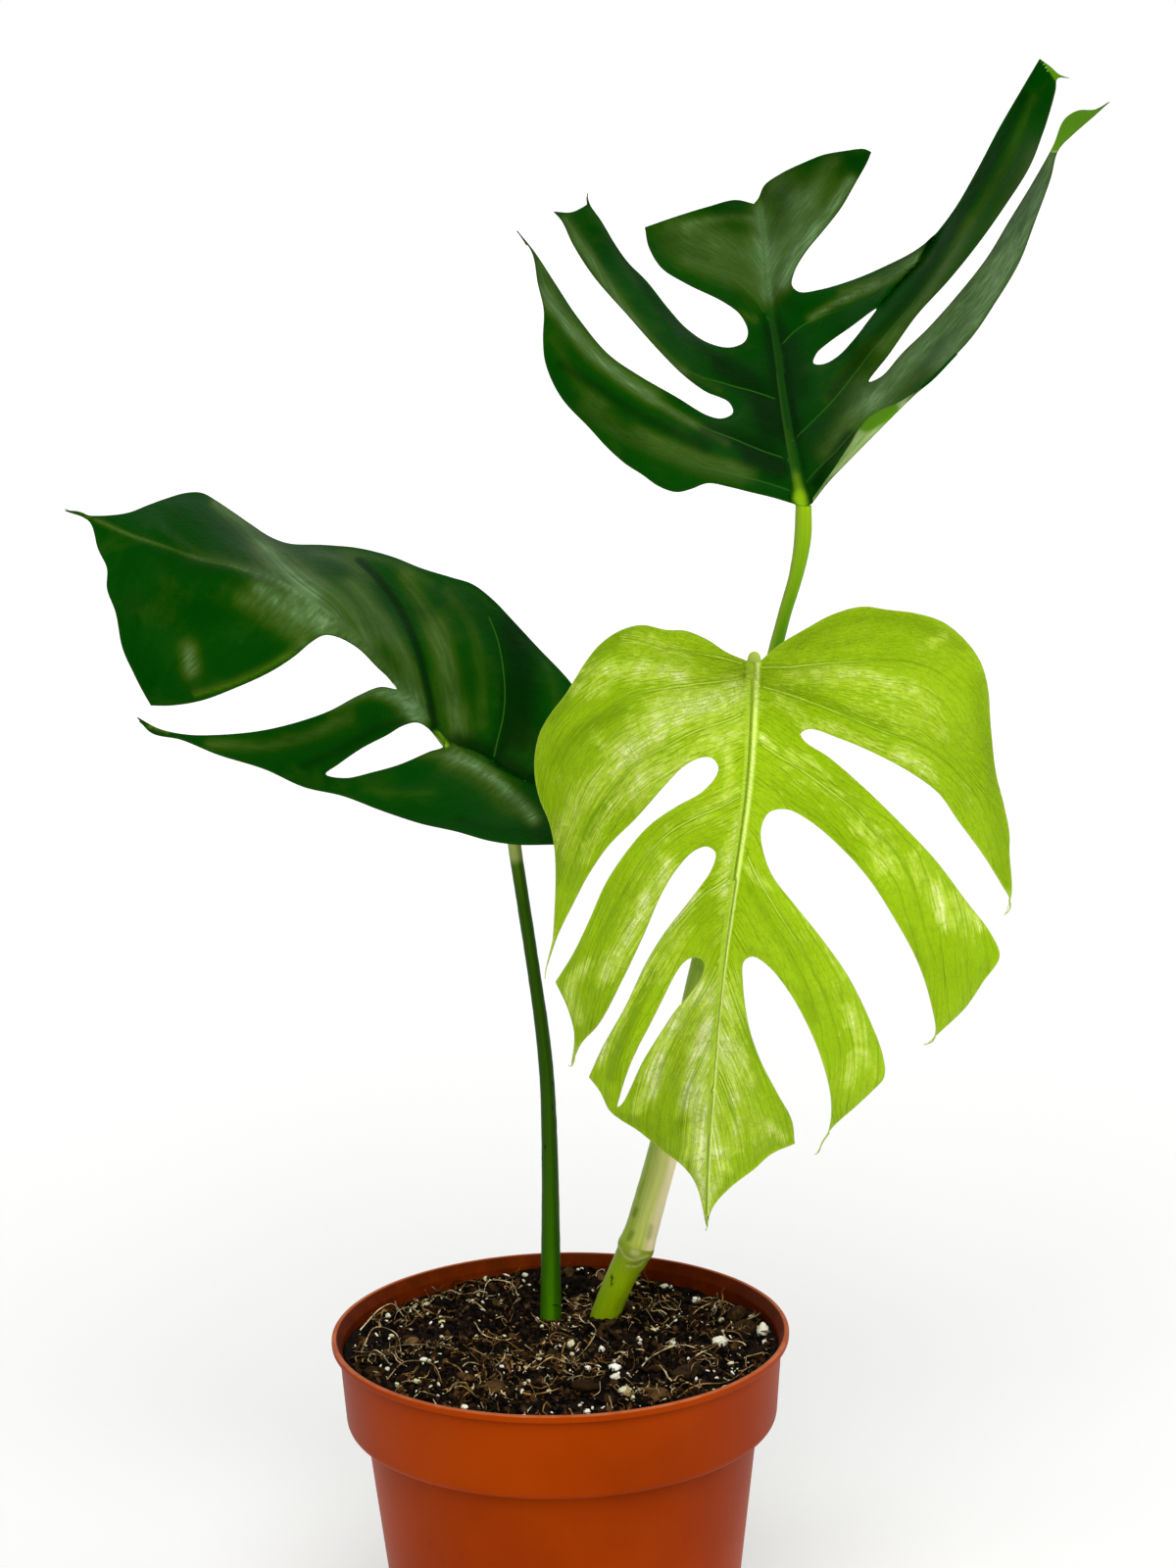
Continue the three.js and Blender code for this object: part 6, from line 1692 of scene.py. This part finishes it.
# The stage, the light and the camera.
def stage():
    """A wide white floor. It glows faintly with distance, so that it stays white as far as the eye goes."""
    bpy.ops.mesh.primitive_plane_add(size=60, location=(0, 20, 0))
    floor = bpy.context.object
    floor.name = "studio_floor"
    made, tree, place = new_material("matt_white_floor")
    away = node(tree, "VectorMath", {0: place, 1: (0.0, -20.0, 0.0)}, operation="DISTANCE")
    glow = node(tree, "MapRange", {
        "Value": away, "From Min": 0.35, "From Max": 2.6, "To Min": 0.15, "To Max": 0.32},
        interpolation_type="SMOOTHSTEP")
    surfaced(tree, {"Base Color": linear("#EAEAEA"), "Roughness": 0.9, "Specular IOR Level": 0.1,
                    "Emission Color": linear("#FFFFFF"), "Emission Strength": glow})
    floor.data.materials.append(made)


def sun(name, bearing, height, strength, spread):
    """A far light, in degrees: its bearing from the camera's side, its height, its apparent width."""
    lamp = bpy.data.lights.new(name, "SUN")
    lamp.energy = strength
    lamp.angle = math.radians(spread)
    made = bpy.data.objects.new(name, lamp)
    made.rotation_euler = (math.radians(90 - height), 0, math.radians(bearing))
    bpy.context.scene.collection.objects.link(made)


def studio():
    """A white room: bright behind and above, dimmer on the camera's side, seen as plain white."""
    world = bpy.data.worlds.new("white_room")
    bpy.context.scene.world = world
    world.use_nodes = True
    tree = world.node_tree
    tree.nodes.clear()
    way = node(tree, "TexCoord").outputs["Generated"]
    way = node(tree, "SeparateXYZ", {0: way}).outputs["Y"]
    strength = node(tree, "MapRange", {
        "Value": way, "From Min": -0.7, "From Max": 0.6, "To Min": 0.2, "To Max": 0.62},
        interpolation_type="SMOOTHSTEP")
    seen = node(tree, "Background", {"Color": linear("#FFFFFF"), "Strength": 1.0})
    given = node(tree, "Background", {"Color": linear("#FAFAF8"), "Strength": strength})
    rays = node(tree, "LightPath").outputs["Is Camera Ray"]
    both = node(tree, "MixShader", {0: rays, 1: given, 2: seen})
    node(tree, "OutputWorld", {"Surface": both})
    bpy.context.scene.view_settings.view_transform = "Standard"
    sun("window_light", 0, 48, 2.3, 42)
    sun("room_light", 50, 30, 0.6, 60)


def camera():
    """The photograph's own view, from the sight frame."""
    lens = bpy.data.cameras.new("photograph")
    lens.sensor_fit = "VERTICAL"
    lens.sensor_height = SENSOR
    lens.lens = VIEW_FOCAL / VIEW_SIZE[1] * SENSOR
    made = bpy.data.objects.new("photograph", lens)
    columns = [Vector(view_right), Vector(view_up), -Vector(view_forward)]
    turn = Matrix([[column[k] for column in columns] for k in range(3)])
    made.matrix_world = Matrix.Translation(Vector(VIEW_EYE * MM)) @ turn.to_4x4()
    bpy.context.scene.collection.objects.link(made)
    bpy.context.scene.camera = made


stage()
studio()
camera()
